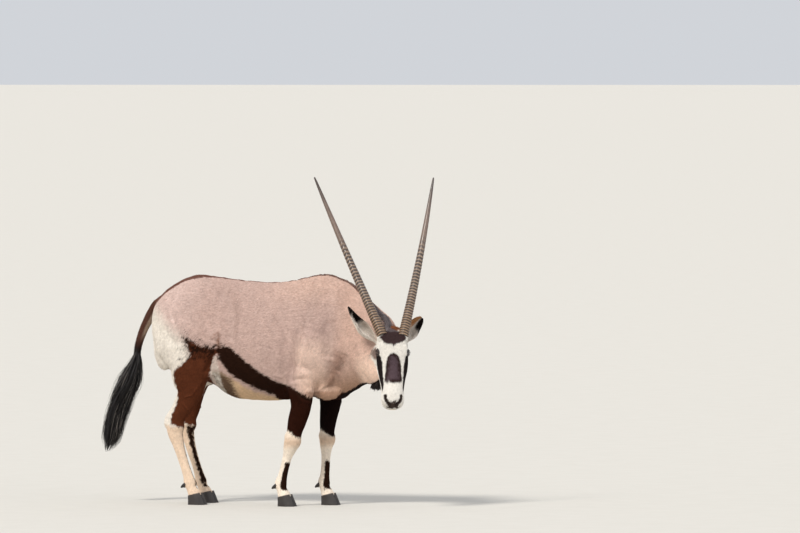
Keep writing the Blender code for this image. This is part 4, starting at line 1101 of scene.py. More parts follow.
@dataclass(frozen=True)
class Markings:
    """The gemsbok's pattern, drawn in the side plane (x, z), on the face and along the spine."""

    palette: Palette = Palette()
    band: Rows = (
        (-0.185, 0.818), (-0.132, 0.831), (-0.091, 0.798), (-0.024, 0.749), (0.0435, 0.699), (0.111, 0.654),
        (0.156, 0.633), (0.2, 0.624), (0.25, 0.6), (0.3, 0.575), (0.34, 0.555), (0.34, 0.5),
        (0.18, 0.5), (0.17, 0.572), (0.133, 0.572), (0.066, 0.584), (0.01, 0.607), (-0.0575, 0.641),
        (-0.1135, 0.673), (-0.158, 0.714), (-0.184, 0.756), (-0.196, 0.784),
    )
    haunch: Rows = (
        (-0.38, 0.868), (-0.35, 0.858), (-0.295, 0.836), (-0.245, 0.817), (-0.18, 0.822), (-0.186, 0.782),
        (-0.213, 0.788), (-0.235, 0.746), (-0.26, 0.7), (-0.28, 0.64), (-0.266, 0.57), (-0.298, 0.5),
        (-0.31, 0.436), (-0.347, 0.388), (-0.386, 0.4), (-0.44, 0.406), (-0.486, 0.424), (-0.482, 0.464),
        (-0.462, 0.514), (-0.445, 0.56), (-0.448, 0.624), (-0.46, 0.68), (-0.45, 0.703), (-0.392, 0.744),
        (-0.352, 0.78), (-0.368, 0.816),
    )
    # lines along which painted shade darkens the coat in a furrow and a fold
    neck_furrow: Rows = ((0.46, 0.78), (0.43, 0.715), (0.395, 0.64))
    fold_line: Rows = ((-0.192, 0.82), (-0.198, 0.85), (-0.201, 0.893))
    forearm: Rows = (
        (0.08, 0.6), (0.2, 0.628), (0.225, 0.622), (0.243, 0.575), (0.279, 0.558), (0.337, 0.549),
        (0.35, 0.52), (0.3, 0.42), (0.255, 0.352), (0.22, 0.362), (0.19, 0.386), (0.155, 0.406),
        (0.1, 0.41),
    )
    buttock: Rows = (
        (-0.8, 1.13), (-0.64, 1.06), (-0.565, 1.0), (-0.5, 0.955), (-0.44, 0.9), (-0.385, 0.85),
        (-0.35, 0.8), (-0.36, 0.7), (-0.4, 0.5), (-0.46, 0.4), (-0.52, 0.33), (-0.8, 0.33),
    )
    forehead: Rows = (
        (-0.036, -0.01), (-0.01, -0.004), (0.012, -0.006), (0.04, -0.01), (0.058, 0.012), (0.069, 0.024),
        (0.064, 0.034), (0.052, 0.046), (0.035, 0.056), (0.016, 0.064), (0.006, 0.068), (0.0, 0.082),
        (-0.006, 0.068), (-0.016, 0.065), (-0.034, 0.064), (-0.046, 0.056), (-0.054, 0.043), (-0.071, 0.027),
        (-0.056, 0.012),
    )
    blaze: Rows = (
        (0.0, 0.112), (0.017, 0.121), (0.029, 0.134), (0.0355, 0.156), (0.039, 0.18), (0.043, 0.2365),
        (0.0455, 0.2588), (0.034, 0.267), (0.016, 0.269), (0.0, 0.272), (-0.016, 0.269), (-0.034, 0.267),
        (-0.0455, 0.2588), (-0.043, 0.2365), (-0.039, 0.18), (-0.0355, 0.156), (-0.029, 0.134),
        (-0.017, 0.121),
    )
    eye_stripe: Rows = (
        (0.09, -0.05, 0.084), (0.1, -0.034, 0.084), (0.12, -0.021, 0.08), (0.15, -0.014, 0.0735),
        (0.179, -0.014, 0.068), (0.2365, -0.02, 0.0625), (0.2855, -0.019, 0.0545), (0.305, -0.022, 0.053),
    )
    eye_stripe_width: tuple[float, ...] = (0.01, 0.018, 0.023, 0.025, 0.024, 0.02, 0.0105, 0.003)
    jaw_stripe: Rows = (
        (0.02, -0.1, 0.076), (0.09, -0.122, 0.072), (0.15, -0.126, 0.066), (0.21, -0.116, 0.05),
        (0.26, -0.106, 0.034), (0.29, -0.1, 0.012), (0.29, -0.1, 0.0),
    )
    jaw_patch: tuple[float, float, float] = (0.088, -0.078, 0.086)
    poll_patch: tuple[float, float, float] = (-0.04, -0.022, 0.016)
    nostril: Rows = ((0.041, 0.334), (0.0395, 0.35), (0.031, 0.365), (0.016, 0.376))

    def grounds(self, at: Spots) -> Array:
        """The plain fawn of the body: back, flank, rump, neck and low chest, fading into each other, with
        painted shade on the low chest and painted light on the low neck and low shoulder.

        Args:
            at: the spots.

        Returns:
            Linear colours.
        """
        c = self.palette
        x, _, z = at.p.T
        colour = np.tile(linear(c.flank), (len(x), 1))
        # share of painted light on the low front of the shoulder
        shoulder = 0.45 * eased(0.2, 0.28, x) * eased(0.92, 0.8, z) * (z > 0.6)
        for code, share in (
            (c.rump, eased(-0.25, -0.5, x)),
            (c.withers, eased(0.98, 1.16, z) * eased(-0.1, 0.25, x)),
            (c.neck, eased(0.38, 0.52, x)),
            # painted shade: the low chest darker towards the bottom
            (c.chest, eased(0.76, 0.6, z) * eased(0.22, 0.34, x) * (x < 0.6)),
            # painted light on the low neck by the jaw and on the low shoulder
            (c.jowl_painted_light, eased(0.53, 0.6, x) * eased(0.84, 0.72, z)),
            (c.jowl_painted_light, shoulder * eased(0.46, 0.36, x)),
        ):
            colour = tinted(colour, share, code)
        return colour

    def pales(self, at: Spots) -> list[tuple[Array, float, str]]:
        """Signed distance inside each pale part, its softness, and its colour.

        Args:
            at: the spots.

        Returns:
            One group of three for each part, in order.
        """
        c = self.palette
        x, _, z = at.p.T
        flat = at.p[:, [0, 2]]
        belly = np.interp(x, (-0.22, -0.13, -0.067, 0.005, 0.09, 0.19), (0.7, 0.66, 0.62, 0.585, 0.565, 0.56))
        belly = belly - z
        inside = eased(0.05, 0.45, -at.out) * 0.06 + np.where(x < -0.2, 0.0, -0.2)
        cheek = np.interp(at.local[:, 0], (0.0, 0.1, 0.2, 0.3, 0.36), (0.06, 0.112, 0.112, 0.12, 0.15))
        face = np.minimum(np.minimum(at.local[:, 0] + 0.02, at.local[:, 1] + cheek), 0.04)
        line, share = path_distance(flat, self.fold_line)
        furrow, _ = path_distance(flat, self.neck_furrow)
        return [
            # painted shade: a darker tone along the flank fold before the haunch and in the neck's furrow
            (kept(at.out > -0.2, 0.013 * (1 - 0.5 * share) - line), 0.016, c.fold),
            (kept(at.out > 0.0, 0.014 - furrow), 0.05, c.fold),
            (outline_distance(flat, self.buttock), 0.05, c.cream),
            (kept(np.abs(x) < 0.25, belly), 0.012, c.belly),
            # painted shade in the fold between belly and thigh
            (kept(np.abs(x) < 0.25, np.minimum(belly, -0.135 - x)), 0.02, c.groin_shade),
            (kept(z < 0.78, inside), 0.02, c.cream),
            (kept(x > 0, 0.41 - z), 0.012, c.shank),
            (kept(x <= 0, 0.41 - z), 0.012, c.hock),
            (kept(at.head > 0.1, face), 0.01, c.face),
            (kept(at.head > 0.5, in_pad(at.local)), 0.005, c.pad),
        ]

    def shins(self, p: Array) -> Array:
        """Signed distance inside the dark stripes down the fronts of the legs.

        Args:
            p: places (n, 3).

        Returns:
            n distances.
        """
        found = np.full(len(p), -1.0)
        x, y, z = p.T
        for leg in LEGS:
            middle_x, middle_y, deep, wide = leg.at(z).T
            ahead, across = (x - middle_x) / deep, (y - middle_y) / wide
            turned = 0.8 * ahead - 0.6 * leg.side() * across if leg.hind else ahead
            reach, front = (0.4, 0.8) if leg.hind else (0.228, 0.15)
            strip = np.minimum((turned - front) * 0.05, np.minimum(reach - z, z - 0.085))
            close = (np.abs(across) < 1.5) & (np.abs(turned) < 1.6) & (z < 0.42)
            found = np.maximum(found, kept(close, strip))
        return found

    def body_darks(self, at: Spots) -> list[tuple[Array, str]]:
        """Signed distance inside each dark part of trunk, neck and legs, and its colour.

        Args:
            at: the spots.

        Returns:
            One pair for each part, in order.
        """
        c = self.palette
        x, y, z = at.p.T
        near = side_plane(at.p)
        body = at.head < 0.5
        haunch, band, forearm = (outline_distance(near, o) for o in (self.haunch, self.band, self.forearm))
        haunch = haunch - 0.1 * eased(0.15, 0.65, -at.out) * eased(0.5, 0.6, z)
        brisket = np.minimum(0.066 - np.abs(y), np.minimum(0.6 - z, 0.5 - x))
        under, _ = path_distance(at.p, NECK.underside())
        throat = np.interp(x, (0.4, 0.52, 0.62, 0.7), (0.04, 0.026, 0.034, 0.044)) - under
        wide = np.interp(
            x,
            (-0.66, -0.6, -0.5, -0.42, -0.35, -0.28, -0.1, 0.3, 0.52, 0.66, 0.73, 0.8),
            (0.066, 0.084, 0.082, 0.066, 0.044, 0.022, 0.013, 0.01, 0.011, 0.018, 0.027, 0.03),
        )
        spine = kept(z > 0.86, wide - off_crest(at.p))
        return [
            (haunch, c.haunch),
            (0.15 * np.minimum(haunch, z - 0.79), c.band),
            (kept(body, band), c.band),
            (kept(body & (y <= 0), forearm), c.forearm),
            # on the far side the dark is deepened by painted shade
            (kept(body & (y > 0), forearm), c.forearm_far_shade),
            (kept(x > 0.14, brisket), c.forearm),
            (self.shins(at.p), c.band),
            (throat, c.throat),
            (kept(x < 0.62, spine), c.spine),
            # near the poll the crest's dark hair, with painted shade and a painted bluish reflection of the
            # sky
            (kept(x >= 0.62, spine), c.crest),
        ]

    def face_darks(self, at: Spots) -> list[tuple[Array, str]]:
        """Signed distance inside each dark part of the face, and its colour.

        Args:
            at: the spots.

        Returns:
            One pair for each part, in order.
        """
        c, local, mirror = self.palette, at.local, mirrored(at.local)
        front = kept(at.head > 0.4, local[:, 1] + 0.026)
        forehead, blaze = (outline_distance(local[:, [2, 0]], o) for o in (self.forehead, self.blaze))
        eye, along_eye = path_distance(mirror, self.eye_stripe)
        jaw, along_jaw = path_distance(mirror, self.jaw_stripe)
        eye_wide = np.interp(along_eye, np.linspace(0, 1, len(self.eye_stripe_width)), self.eye_stripe_width)
        jaw_wide = np.interp(along_jaw, (0.0, 0.3, 0.8, 1.0), (0.012, 0.0055, 0.008, 0.014))
        nose, _ = path_distance(mirror[:, [2, 0]], self.nostril)
        patch = 0.5 * (0.03 - np.linalg.norm(mirror - self.jaw_patch, axis=1))
        return [
            (np.minimum(forehead, front), c.forehead),
            # the nose patch's own dark, and inside its edge a lighter tone that is a painted highlight down
            # the nose
            (np.minimum(blaze, front), c.blaze_edge),
            (0.25 * np.minimum(blaze - 0.016, front), c.blaze),
            (kept(at.head > 0.5, eye_wide - eye), c.stripe),
            (kept(at.head > 0.1, jaw_wide - jaw), c.stripe),
            (kept(at.head > 0.05, patch), c.jaw),
            (0.5 * (0.03 - np.linalg.norm(local - self.poll_patch, axis=1)), c.poll),
            (kept(local[:, 1] > -0.055, 0.0084 - nose), c.lip),
            (kept((at.head > 0.5) & (local[:, 0] > 0.312), 0.0024 - off_mouth(local)), c.lip),
        ]

    def lies(self, at: Spots) -> Array:
        """Which way the hair lies: back along the trunk, down the legs and down the face.

        Args:
            at: the spots.

        Returns:
            Unit directions along the skin.
        """
        x, _, z = at.p.T
        back = np.tile((-1.0, 0.0, -0.28), (len(x), 1))
        haunch = eased(-0.15, -0.4, x) * eased(1.05, 0.75, z)
        shoulder = eased(0.15, 0.3, x) * eased(1.0, 0.65, z)
        back[:, 2] -= 1.6 * haunch + 1.1 * shoulder
        back[:, 1] += 0.75 * eased(0.4, 0.6, x)
        way = back * (1 - at.leg[:, None]) + np.array([-0.12, 0.0, -1.0]) * at.leg[:, None]
        way = way * (1 - at.head[:, None]) + HEAD.frame.way((1.0, -0.25, 0.0)) * at.head[:, None]
        wander = np.stack([rippled(at.p, 0.09, 31 + k) for k in range(3)], -1)
        return along_skin(unit(way) + 0.16 * wander, at.n)

    def at(self, p: Array, n: Array, jitter: Array) -> Marks:
        """Colour and lie of the coat at each place.

        The ground colour is crossed by each pale part and then by each dark one, with a share
        that rises smoothly over the edge. The jitter moves the edge, as single hairs do.

        Args:
            p: places (n, 3), in the working frame.
            n: normals there.
            jitter: metres by which an edge moves at each place.

        Returns:
            The marks.
        """
        at = Spots.of(p, n)
        colour = self.grounds(at)
        ragged = jitter + 0.004 * rippled(p, 0.022, 7) + 0.003 * rippled(p, 0.009, 8)
        for distance, fade, code in self.pales(at):
            colour = tinted(colour, eased(-1.0, 1.0, (distance + ragged * 1.5) / fade), code)
        knee = eased(0.05, 0.0, np.abs(p[:, 2] - 0.335)) * (p[:, 0] > 0.0) * at.leg
        colour = tinted(colour, 0.45 * knee, self.palette.knee)
        chin = eased(-0.064, -0.072, at.local[:, 1]) * eased(0.33, 0.35, at.local[:, 0]) * at.head
        colour = tinted(colour, chin, self.palette.chin)
        sharp = np.where(at.head > 0.5, 0.4, 1.0)
        for distance, code in self.body_darks(at) + self.face_darks(at):
            colour = tinted(colour, eased(-1.0, 1.0, (distance + ragged * sharp) / 0.0035), code)
        mottle_and_crease_shading = 1 + (1 - at.head) * (0.035 * rippled(p, 0.055, 12) + 0.025 * rippled(p, 0.02, 13))
        # painted shade in the creases and painted light on their rims
        mottle_and_crease_shading *= creased(p, eased(0.1, 0.5, at.out) * (1 - at.head))[1]
        return Marks(np.clip(colour * mottle_and_crease_shading[:, None], 0.0, 1.0), self.lies(at), at.head, at.leg)


MARKINGS = Markings()


# Skin


@dataclass
class Skin:
    """One closed skin over trunk, neck, head and legs, in the working frame."""

    voxel: float = 0.0062
    magnified: float = 2.2
    magnified_reach: float = 0.26
    rounds: int = 22
    triangles: int = 190_000
    depth: float = 0.0026
    nose_wing: Rows = ((0.052, 0.332), (0.05, 0.354), (0.041, 0.371))
    cheek_bone: Rows = ((0.15, -0.06, 0.066), (0.23, -0.052, 0.054))
    points: Array = field(default_factory=lambda: np.zeros((0, 3)))
    faces: Ints = field(default_factory=lambda: np.zeros((0, 3), np.int64))
    normals: Array = field(default_factory=lambda: np.zeros((0, 3)))

    def warped(self, points: Array, back: bool = False) -> Array:
        """Magnifies the head: radius r becomes m r up to a reach, and r + (m - 1) reach past it.

        Args:
            points: places (n, 3).
            back: whether to undo it instead.

        Returns:
            Places (n, 3).
        """
        centre = HEAD.frame.place(HEAD.middle)
        away = points - centre
        r = np.linalg.norm(away, axis=1, keepdims=True)
        m, reach = self.magnified, self.magnified_reach
        if back:
            near, far, limit = r / m, r - (m - 1) * reach, m * reach
        else:
            near, far, limit = r * m, r + (m - 1) * reach, reach
        return centre + away / np.maximum(r, 1e-9) * np.where(r < limit, near, far)

    def blend(self) -> None:
        """Voxels one skin over all forms and smooths it where they meet."""
        shapes = TRUNK.shapes() + NECK.shapes() + HEAD.shapes()
        for leg in LEGS:
            shapes += leg.shapes()
        points, faces = joined(shapes)
        rough = mesh_piece("rough_forms", self.warped(points), faces)
        remesh = rough.modifiers.new("skin", "REMESH")
        remesh.mode = "VOXEL"
        remesh.voxel_size = self.voxel
        points, faces = arrays_of(rough)
        bpy.data.objects.remove(rough, do_unlink=True)
        points = self.warped(points, back=True)
        soft = np.clip((points[:, 2] - 0.46) / 0.2, 0.2, 1.0)
        head = eased(-0.03, 0.03, head_plane(points)) * (points[:, 0] > 0.5)
        soft = soft * (1 - head) + 0.28 * head
        self.points, self.faces = relaxed(points, faces, soft, self.rounds), faces
        self.normals = point_normals(self.points, self.faces)

    def sculpt(self) -> None:
        """Moves the skin in by the coat's depth and along its normals for folds, veins and features."""
        p, n = self.points, self.normals
        local = HEAD.frame.local(p)
        mirror = mirrored(local)
        face = mirror[:, [2, 0]]
        head = eased(-0.02, 0.02, head_plane(p)) * (p[:, 0] > 0.5)
        out = n[:, 1] * np.where(p[:, 1] > 0, 1.0, -1.0)
        leg = eased(0.6, 0.42, p[:, 2]) * (1 - head)
        move = -self.depth * (1 - 0.6 * np.maximum(leg, head))
        move += creased(p, eased(0.1, 0.5, out))[0]
        move += 0.0012 * rippled(p, 0.07, 3) * (1 - head) * (1 - 0.7 * leg)
        shank = eased(0.33, 0.27, p[:, 2]) * eased(0.12, 0.16, p[:, 2])
        for one in LEGS:
            at = one.at(p[:, 2])
            back = (p[:, 0] - at[:, 0]) / at[:, 2]
            close = (np.abs(p[:, 1] - at[:, 1]) / at[:, 3] < 1.4) & (np.abs(back) < 1.5)
            move -= 0.0022 * bell(back + 0.25, 0.16) * shank * close
        front = (local[:, 1] > -0.055) * head
        nose, _ = path_distance(face, MARKINGS.nostril)
        move -= 0.007 * bell(nose, 0.0048) * front
        wing, _ = path_distance(face, self.nose_wing)
        move += 0.003 * bell(wing, 0.006) * front
        slit = eased(0.302, 0.318, local[:, 0]) * head
        move -= 0.0042 * bell(off_mouth(local), 0.003) * slit
        cheek, _ = path_distance(mirror, self.cheek_bone)
        move += 0.0025 * bell(cheek, 0.01) * head
        bridge = bell(mirror[:, 2], 0.016) * eased(0.12, 0.18, local[:, 0])
        move += 0.0015 * bridge * eased(0.3, 0.26, local[:, 0]) * (local[:, 1] > -0.02) * head
        self.points = p + n * move[:, None]
        for which in Side:
            self.points = self.points + self.socket(which)

    def socket(self, side: Side) -> Array:
        """How each point makes room for an eye: a pit to just inside the ball, and a hollow round it.

        Args:
            side: which eye.

        Returns:
            A move for each point.
        """
        axes = HEAD.eye_axes(side)
        away = (self.points - HEAD.eye_centre(side)) @ axes.T
        ring = np.sqrt((away[:, 1] / 0.0165) ** 2 + (away[:, 2] / 0.0125) ** 2)
        pit = eased(1.15, 0.85, ring) * (away[:, 0] > 0)
        inner = np.sqrt(np.maximum((HEAD.eye_radius - 0.004) ** 2 - away[:, 1] ** 2 - away[:, 2] ** 2, 1e-6))
        hollow = bell(ring - 1.9, 0.6) * (away[:, 0] > -0.01) * 0.0012
        return ((np.minimum(away[:, 0], inner) - away[:, 0]) * pit - hollow)[:, None] * axes[0]

    def thin(self) -> None:
        """Thins the skin to its count of triangles, flat places first."""
        dense = mesh_piece("dense_skin", self.points, self.faces)
        fewer = dense.modifiers.new("thin", "DECIMATE")
        fewer.ratio = min(1.0, self.triangles / len(self.faces))
        self.points, self.faces = arrays_of(dense)
        bpy.data.objects.remove(dense, do_unlink=True)
        self.normals = point_normals(self.points, self.faces)

    def build(self) -> None:
        """All three steps in order."""
        self.blend()
        self.sculpt()
        self.thin()

    def dress(self, shop: Workshop) -> None:
        """Makes the object with its marks as a colour for each point."""
        marks = MARKINGS.at(self.points, self.normals, np.zeros(len(self.points)))
        flesh = ["head", "neck", "torso", *(f"leg_{leg.name}" for leg in LEGS)]
        shop.piece("skin", (self.points, self.faces), marks.colour, 0.46, Look.SKIN, "body_coat", *flesh)


# Short coat


class Region(Enum):
    """The pieces that the short coat is made in."""

    TRUNK_RIGHT = "coat_trunk_right"
    TRUNK_LEFT = "coat_trunk_left"
    NECK = "coat_neck"
    HEAD = "coat_head"
    LEGS = "coat_legs"


@dataclass(frozen=True)
class Growth:
    """How the hair of one region grows: tufts, their length and width, and their lift in degrees."""

    region: Region
    slot: str
    count: int
    length: float
    width: float
    lift: float


def sown(
    points: Array, faces: Ints, normals: Array, share: Array, count: int, draw: Draw
) -> tuple[Array, Array]:
    """Scatters roots over faces, evenly along the running total of their shares.

    Args:
        points: the surface's places.
        faces: its three-sided faces.
        normals: its normals at the points.
        share: how much grows on each face.
        count: how many roots.
        draw: the seeded source.

    Returns:
        Places and normals of the roots (count, 3).
    """
    total = np.cumsum(share)
    spread = (np.arange(count) + draw.random(count)) / count * total[-1]
    face = np.searchsorted(total, spread, side="right").clip(0, len(total) - 1)
    u, v = draw.random(count), draw.random(count)
    over = u + v > 1
    u, v = np.where(over, 1 - u, u), np.where(over, 1 - v, v)
    weight = np.stack([1 - u - v, u, v], -1)[..., None]
    index = faces[face]
    return (points[index] * weight).sum(axis=1), unit((normals[index] * weight).sum(axis=1))


def face_areas(points: Array, faces: Ints) -> Array:
    """Twice the area of each face."""
    corners = points[faces]
    return np.linalg.norm(np.cross(corners[:, 1] - corners[:, 0], corners[:, 2] - corners[:, 0]), axis=1)


def shades(draw: Draw, count: int, corners: int, mean: float = 0.5, spread: float = 0.16) -> Array:
    """A random lightness for each tuft, repeated for its corners."""
    return np.repeat(np.clip(draw.normal(mean, spread, count), 0.0, 1.0), corners)


def lock_mesh(centres: Array, across: Array, width: Array, thick: Array) -> Mesh:
    """Flat locks of four corners a row, full in the first third and drawn in to a point.

    Args:
        centres: places along each lock (n, rows, 3).
        across: directions of their broad sides (n, rows, 3) or (n, 1, 3).
        width: metres across each (n,).
        thick: metres through each (n,).

    Returns:
        Places (4 n rows, 3) and three-sided faces.
    """
    count, rows = centres.shape[:2]
    taper = np.interp(np.linspace(0, 1, rows), (0.0, 0.3, 0.7, 1.0), (0.7, 1.0, 0.7, 0.04))
    ahead = unit(np.gradient(centres, axis=1))
    across = unit(across - ahead * (across * ahead).sum(axis=-1, keepdims=True))
    wide = across * (taper[None] * width[:, None] / 2)[..., None]
    deep = np.cross(ahead, across) * (taper[None] * thick[:, None] / 2)[..., None]
    points = np.stack([centres + wide, centres + deep, centres - wide, centres - deep], axis=2)
    walls = halved(tube_faces(rows, CORNERS))
    last = CORNERS * (rows - 1)
    ends = np.array([(0, 2, 1), (0, 3, 2), (last, last + 1, last + 2), (last, last + 2, last + 3)])
    faces = outward(points[0].reshape(-1, 3), np.vstack([walls, ends]))
    numbers = faces[None] + (CORNERS * rows * np.arange(count))[:, None, None]
    return points.reshape(-1, 3), numbers.reshape(-1, 3)


def tuft_mesh(
    roots: Array, ways: Array, normals: Array, length: Array, width: Array, lift: Array, draw: Draw
) -> Mesh:
    """Closed slivers of four faces: a flat three-cornered root and one tip, laid along the coat.

    Args:
        roots: where each grows (n, 3).
        ways: unit directions along the skin.
        normals: unit directions off the skin.
        length: metres, for each.
        width: metres at the root.
        lift: radians off the skin.
        draw: the seeded source of small bends.

    Returns:
        Places (4 n, 3) and faces (4 n, 3).
    """
    across = np.cross(normals, ways)
    bend = draw.normal(0.0, 0.16, len(roots))[:, None]
    half = (width / 2)[:, None]
    tip = roots + length[:, None] * (
        np.cos(lift)[:, None] * (ways + bend * across) + np.sin(lift)[:, None] * normals
    )
    sunk = roots - 0.0007 * normals
    ridge = roots + ways * length[:, None] * 0.18 + normals * (half * 0.55)
    corners = np.stack([sunk + across * half, sunk - across * half, ridge, tip], axis=1)
    faces = np.array([(0, 1, 2), (0, 2, 3), (2, 1, 3), (1, 0, 3)])
    a, b, c = (corners[:, faces[:, k]] - roots[:, None] for k in range(3))
    if (a * np.cross(b, c)).sum() < 0:
        faces = faces[:, ::-1]
    numbers = faces[None] + CORNERS * np.arange(len(roots))[:, None, None]
    return corners.reshape(-1, 3), numbers.reshape(-1, 3)


def tuft_map(thing: Thing, roots: Array, corners: int, patch: float = 0.003) -> None:
    """Gives each tuft a small patch of the map OFBake at its root's place on the unwrap.

    Args:
        thing: the piece; its points come in groups, one for each tuft.
        roots: unwrapped places of the roots, from 0 to 1 (n, 2).
        corners: points in each tuft.
        patch: width of one patch.
    """
    turn = np.arange(corners) * TURN / corners
    ring = np.stack([np.cos(turn), np.sin(turn)], -1) * patch / 2
    spots = (np.clip(roots, 0.003, 0.997)[:, None] + ring[None]).reshape(-1, 2)
    layer = thing.data.uv_layers.new(name="OFBake")
    index = np.empty(len(thing.data.loops), np.int32)
    thing.data.loops.foreach_get("vertex_index", index)
    layer.data.foreach_set("uv", spots[index].astype(np.float32).ravel())


def lock_map(thing: Thing, roots: Array) -> None:
    """Gives the four corners of each row of a lock a small patch of OFBake, from their roots' places."""
    ring = np.arange(len(roots)) % CORNERS * (TURN / CORNERS)
    tuft_map(thing, roots + 0.0015 * np.column_stack([np.cos(ring), np.sin(ring)]), 1, 0.0)


@dataclass
class Coat:
    """Short fur over the whole skin, in tufts that lie along the body."""

    growths: tuple[Growth, ...] = (
        Growth(Region.TRUNK_RIGHT, "body_coat", 47_000, 0.014, 0.0034, 5.5),
        Growth(Region.TRUNK_LEFT, "body_coat", 47_000, 0.014, 0.0034, 5.5),
        Growth(Region.NECK, "neck_coat", 34_000, 0.0145, 0.0032, 6.0),
        Growth(Region.HEAD, "face_coat", 38_000, 0.0055, 0.002, 8.0),
        Growth(Region.LEGS, "leg_coat", 46_000, 0.0085, 0.0026, 6.0),
    )
    seed: int = 17
    floor: float = 0.052

    def regions(self, p: Array) -> Array:
        """The region of each place, as a number in the order of the growths.

        Args:
            p: places (n, 3).

        Returns:
            n numbers.
        """
        cut = np.where(p[:, 0] > 0, 0.53, 0.575)
        which = np.where(p[:, 0] > 0.435, 2, np.where(p[:, 1] > 0, 1, 0))
        which = np.where(on_head(p), 3, which)
        return np.where(~on_head(p) & (p[:, 2] < cut) & (p[:, 0] < 0.42), 4, which)

    def unwrapped(self, region: Region, p: Array) -> Array:
        """Places on the unwrap: the angle round the region's own axis, and the way along it.

        Args:
            region: which region.
            p: places (n, 3).

        Returns:
            Places on the unwrap (n, 2).
        """
        if region is Region.HEAD:
            local = HEAD.frame.local(p)
            turn = np.arctan2(local[:, 2], local[:, 1] + 0.06)
            return np.column_stack([(turn / TURN) % 1.0, (local[:, 0] + 0.16) / 0.6])
        if region is Region.NECK:
            turn = np.arctan2(p[:, 1] - NECK.middle(p[:, 0]), p[:, 2] - 0.82)
            return np.column_stack([(turn / TURN) % 1.0, (p[:, 0] - 0.42) / 0.4])
        if region is Region.LEGS:
            limb = np.where(p[:, 0] > 0, 0, 2) + np.where(p[:, 1] > 0, 1, 0)
            middle = np.empty((len(p), 2))
            for number, leg in enumerate(LEGS):
                middle[limb == number] = leg.at(p[limb == number, 2])[:, :2]
            turn = np.arctan2(p[:, 1] - middle[:, 1], p[:, 0] - middle[:, 0])
            return np.column_stack([(limb + 0.02 + 0.96 * ((turn / TURN) % 1.0)) / 4, p[:, 2] / 0.6])
        turn = np.abs(np.arctan2(p[:, 1], p[:, 2] - 0.87))
        return np.column_stack([turn / math.pi, (p[:, 0] + 0.7) / 1.16])

    def bare(self, p: Array) -> Array:
        """Where no hair grows: hooves, nose pad, nostrils, lips, eyes and horn roots.

        Args:
            p: places (n, 3).

        Returns:
            True for each bare place.
        """
        local = HEAD.frame.local(p)
        nose, _ = path_distance(mirrored(local)[:, [2, 0]], MARKINGS.nostril)
        lips = (off_mouth(local) < 0.0026) & (local[:, 0] > 0.315)
        none = on_head(p) & ((in_pad(local) > 0.003) | ((nose < 0.004) & (local[:, 1] > -0.055)) | lips)
        for side in Side:
            away = (p - HEAD.eye_centre(side)) @ HEAD.eye_axes(side).T
            ring = np.sqrt((away[:, 1] / 0.0185) ** 2 + (away[:, 2] / 0.0145) ** 2)
            none |= (ring < 1.0) & (away[:, 0] > 0)
        return none | (p[:, 2] < 0.05)

    def build(self, skin: Skin, shop: Workshop) -> None:
        """Sows roots over the skin by area, and makes one piece for each region.

        Args:
            skin: the finished skin.
            shop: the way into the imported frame, and the finishes.
        """
        draw = np.random.default_rng(self.seed)
        area = face_areas(skin.points, skin.faces)
        middle = skin.points[skin.faces].mean(axis=1)
        which = self.regions(middle)
        area[self.bare(middle)] = 0.0
        area *= 1 + 1.2 * eased(0.3, 0.1, HEAD.frame.local(middle)[:, 0]) * (which == 3)
        for number, growth in enumerate(self.growths):
            count = growth.count
            share = np.where(which == number, area, 0.0)
            root, normal = sown(skin.points, skin.faces, skin.normals, share, count, draw)
            mark = MARKINGS.at(root, normal, draw.normal(0.0, 0.0022, count))
            size = 1 - 0.45 * eased(0.1, 0.3, HEAD.frame.local(root)[:, 0]) * mark.head
            size *= 1 - 0.35 * eased(0.4, 0.25, root[:, 2]) * mark.leg
            length = growth.length * size * draw.uniform(0.75, 1.25, count)
            width = growth.width * np.sqrt(size) * draw.uniform(0.8, 1.2, count)
            lift = np.radians(growth.lift * draw.uniform(0.5, 1.6, count))
            points, faces = tuft_mesh(root, mark.lie, normal, length, width, lift, draw)
            points[:, 2] = np.maximum(points[:, 2], self.floor)
            thing = shop.piece(
                growth.region.value, (points, faces), np.repeat(mark.colour, CORNERS, axis=0),
                shades(draw, count, CORNERS), Look.COAT, growth.slot, smooth=False,
            )
            tuft_map(thing, self.unwrapped(growth.region, root), CORNERS)


# Finishes


def added(tree: Tree, kind: str, settings: dict[str, object] | None = None, **inputs: object,
          ) -> bpy.types.Node:
    """Adds one node with its settings and links.

    Args:
        tree: the node tree.
        kind: the node's type, without the words ShaderNode.
        settings: properties of the node.
        inputs: a value, a socket, or a node for its first output, for each input; an underscore
            stands for a space, and `n` with a number for the input at that number.

    Returns:
        The node.
    """
    node = tree.nodes.new(f"ShaderNode{kind}")
    for name, value in (settings or {}).items():
        setattr(node, name, value)
    for name, value in inputs.items():
        numbered = name[0] == "n" and name[1:].isdigit()
        socket = node.inputs[int(name[1:]) if numbered else name.replace("_", " ")]
        source = value.outputs[0] if isinstance(value, bpy.types.Node) else value
        if isinstance(source, Socket):
            tree.links.new(source, socket)
        else:
            socket.default_value = value
    return node


def fresh_tree(name: str) -> tuple[Material, Tree, Socket]:
    """A new material, its node tree with nothing else in it, and the places of Object coordinates.

    Args:
        name: the material's name.

    Returns:
        The material, the tree and the socket.
    """
    material = bpy.data.materials.new(name)
    material.use_nodes = True
    tree = material.node_tree
    tree.nodes.clear()
    return material, tree, added(tree, "TexCoord").outputs["Object"]


def point_values(tree: Tree, name: str, output: str) -> Socket:
    """What the points of the mesh store under this name."""
    return added(tree, "Attribute", {"attribute_name": name}).outputs[output]


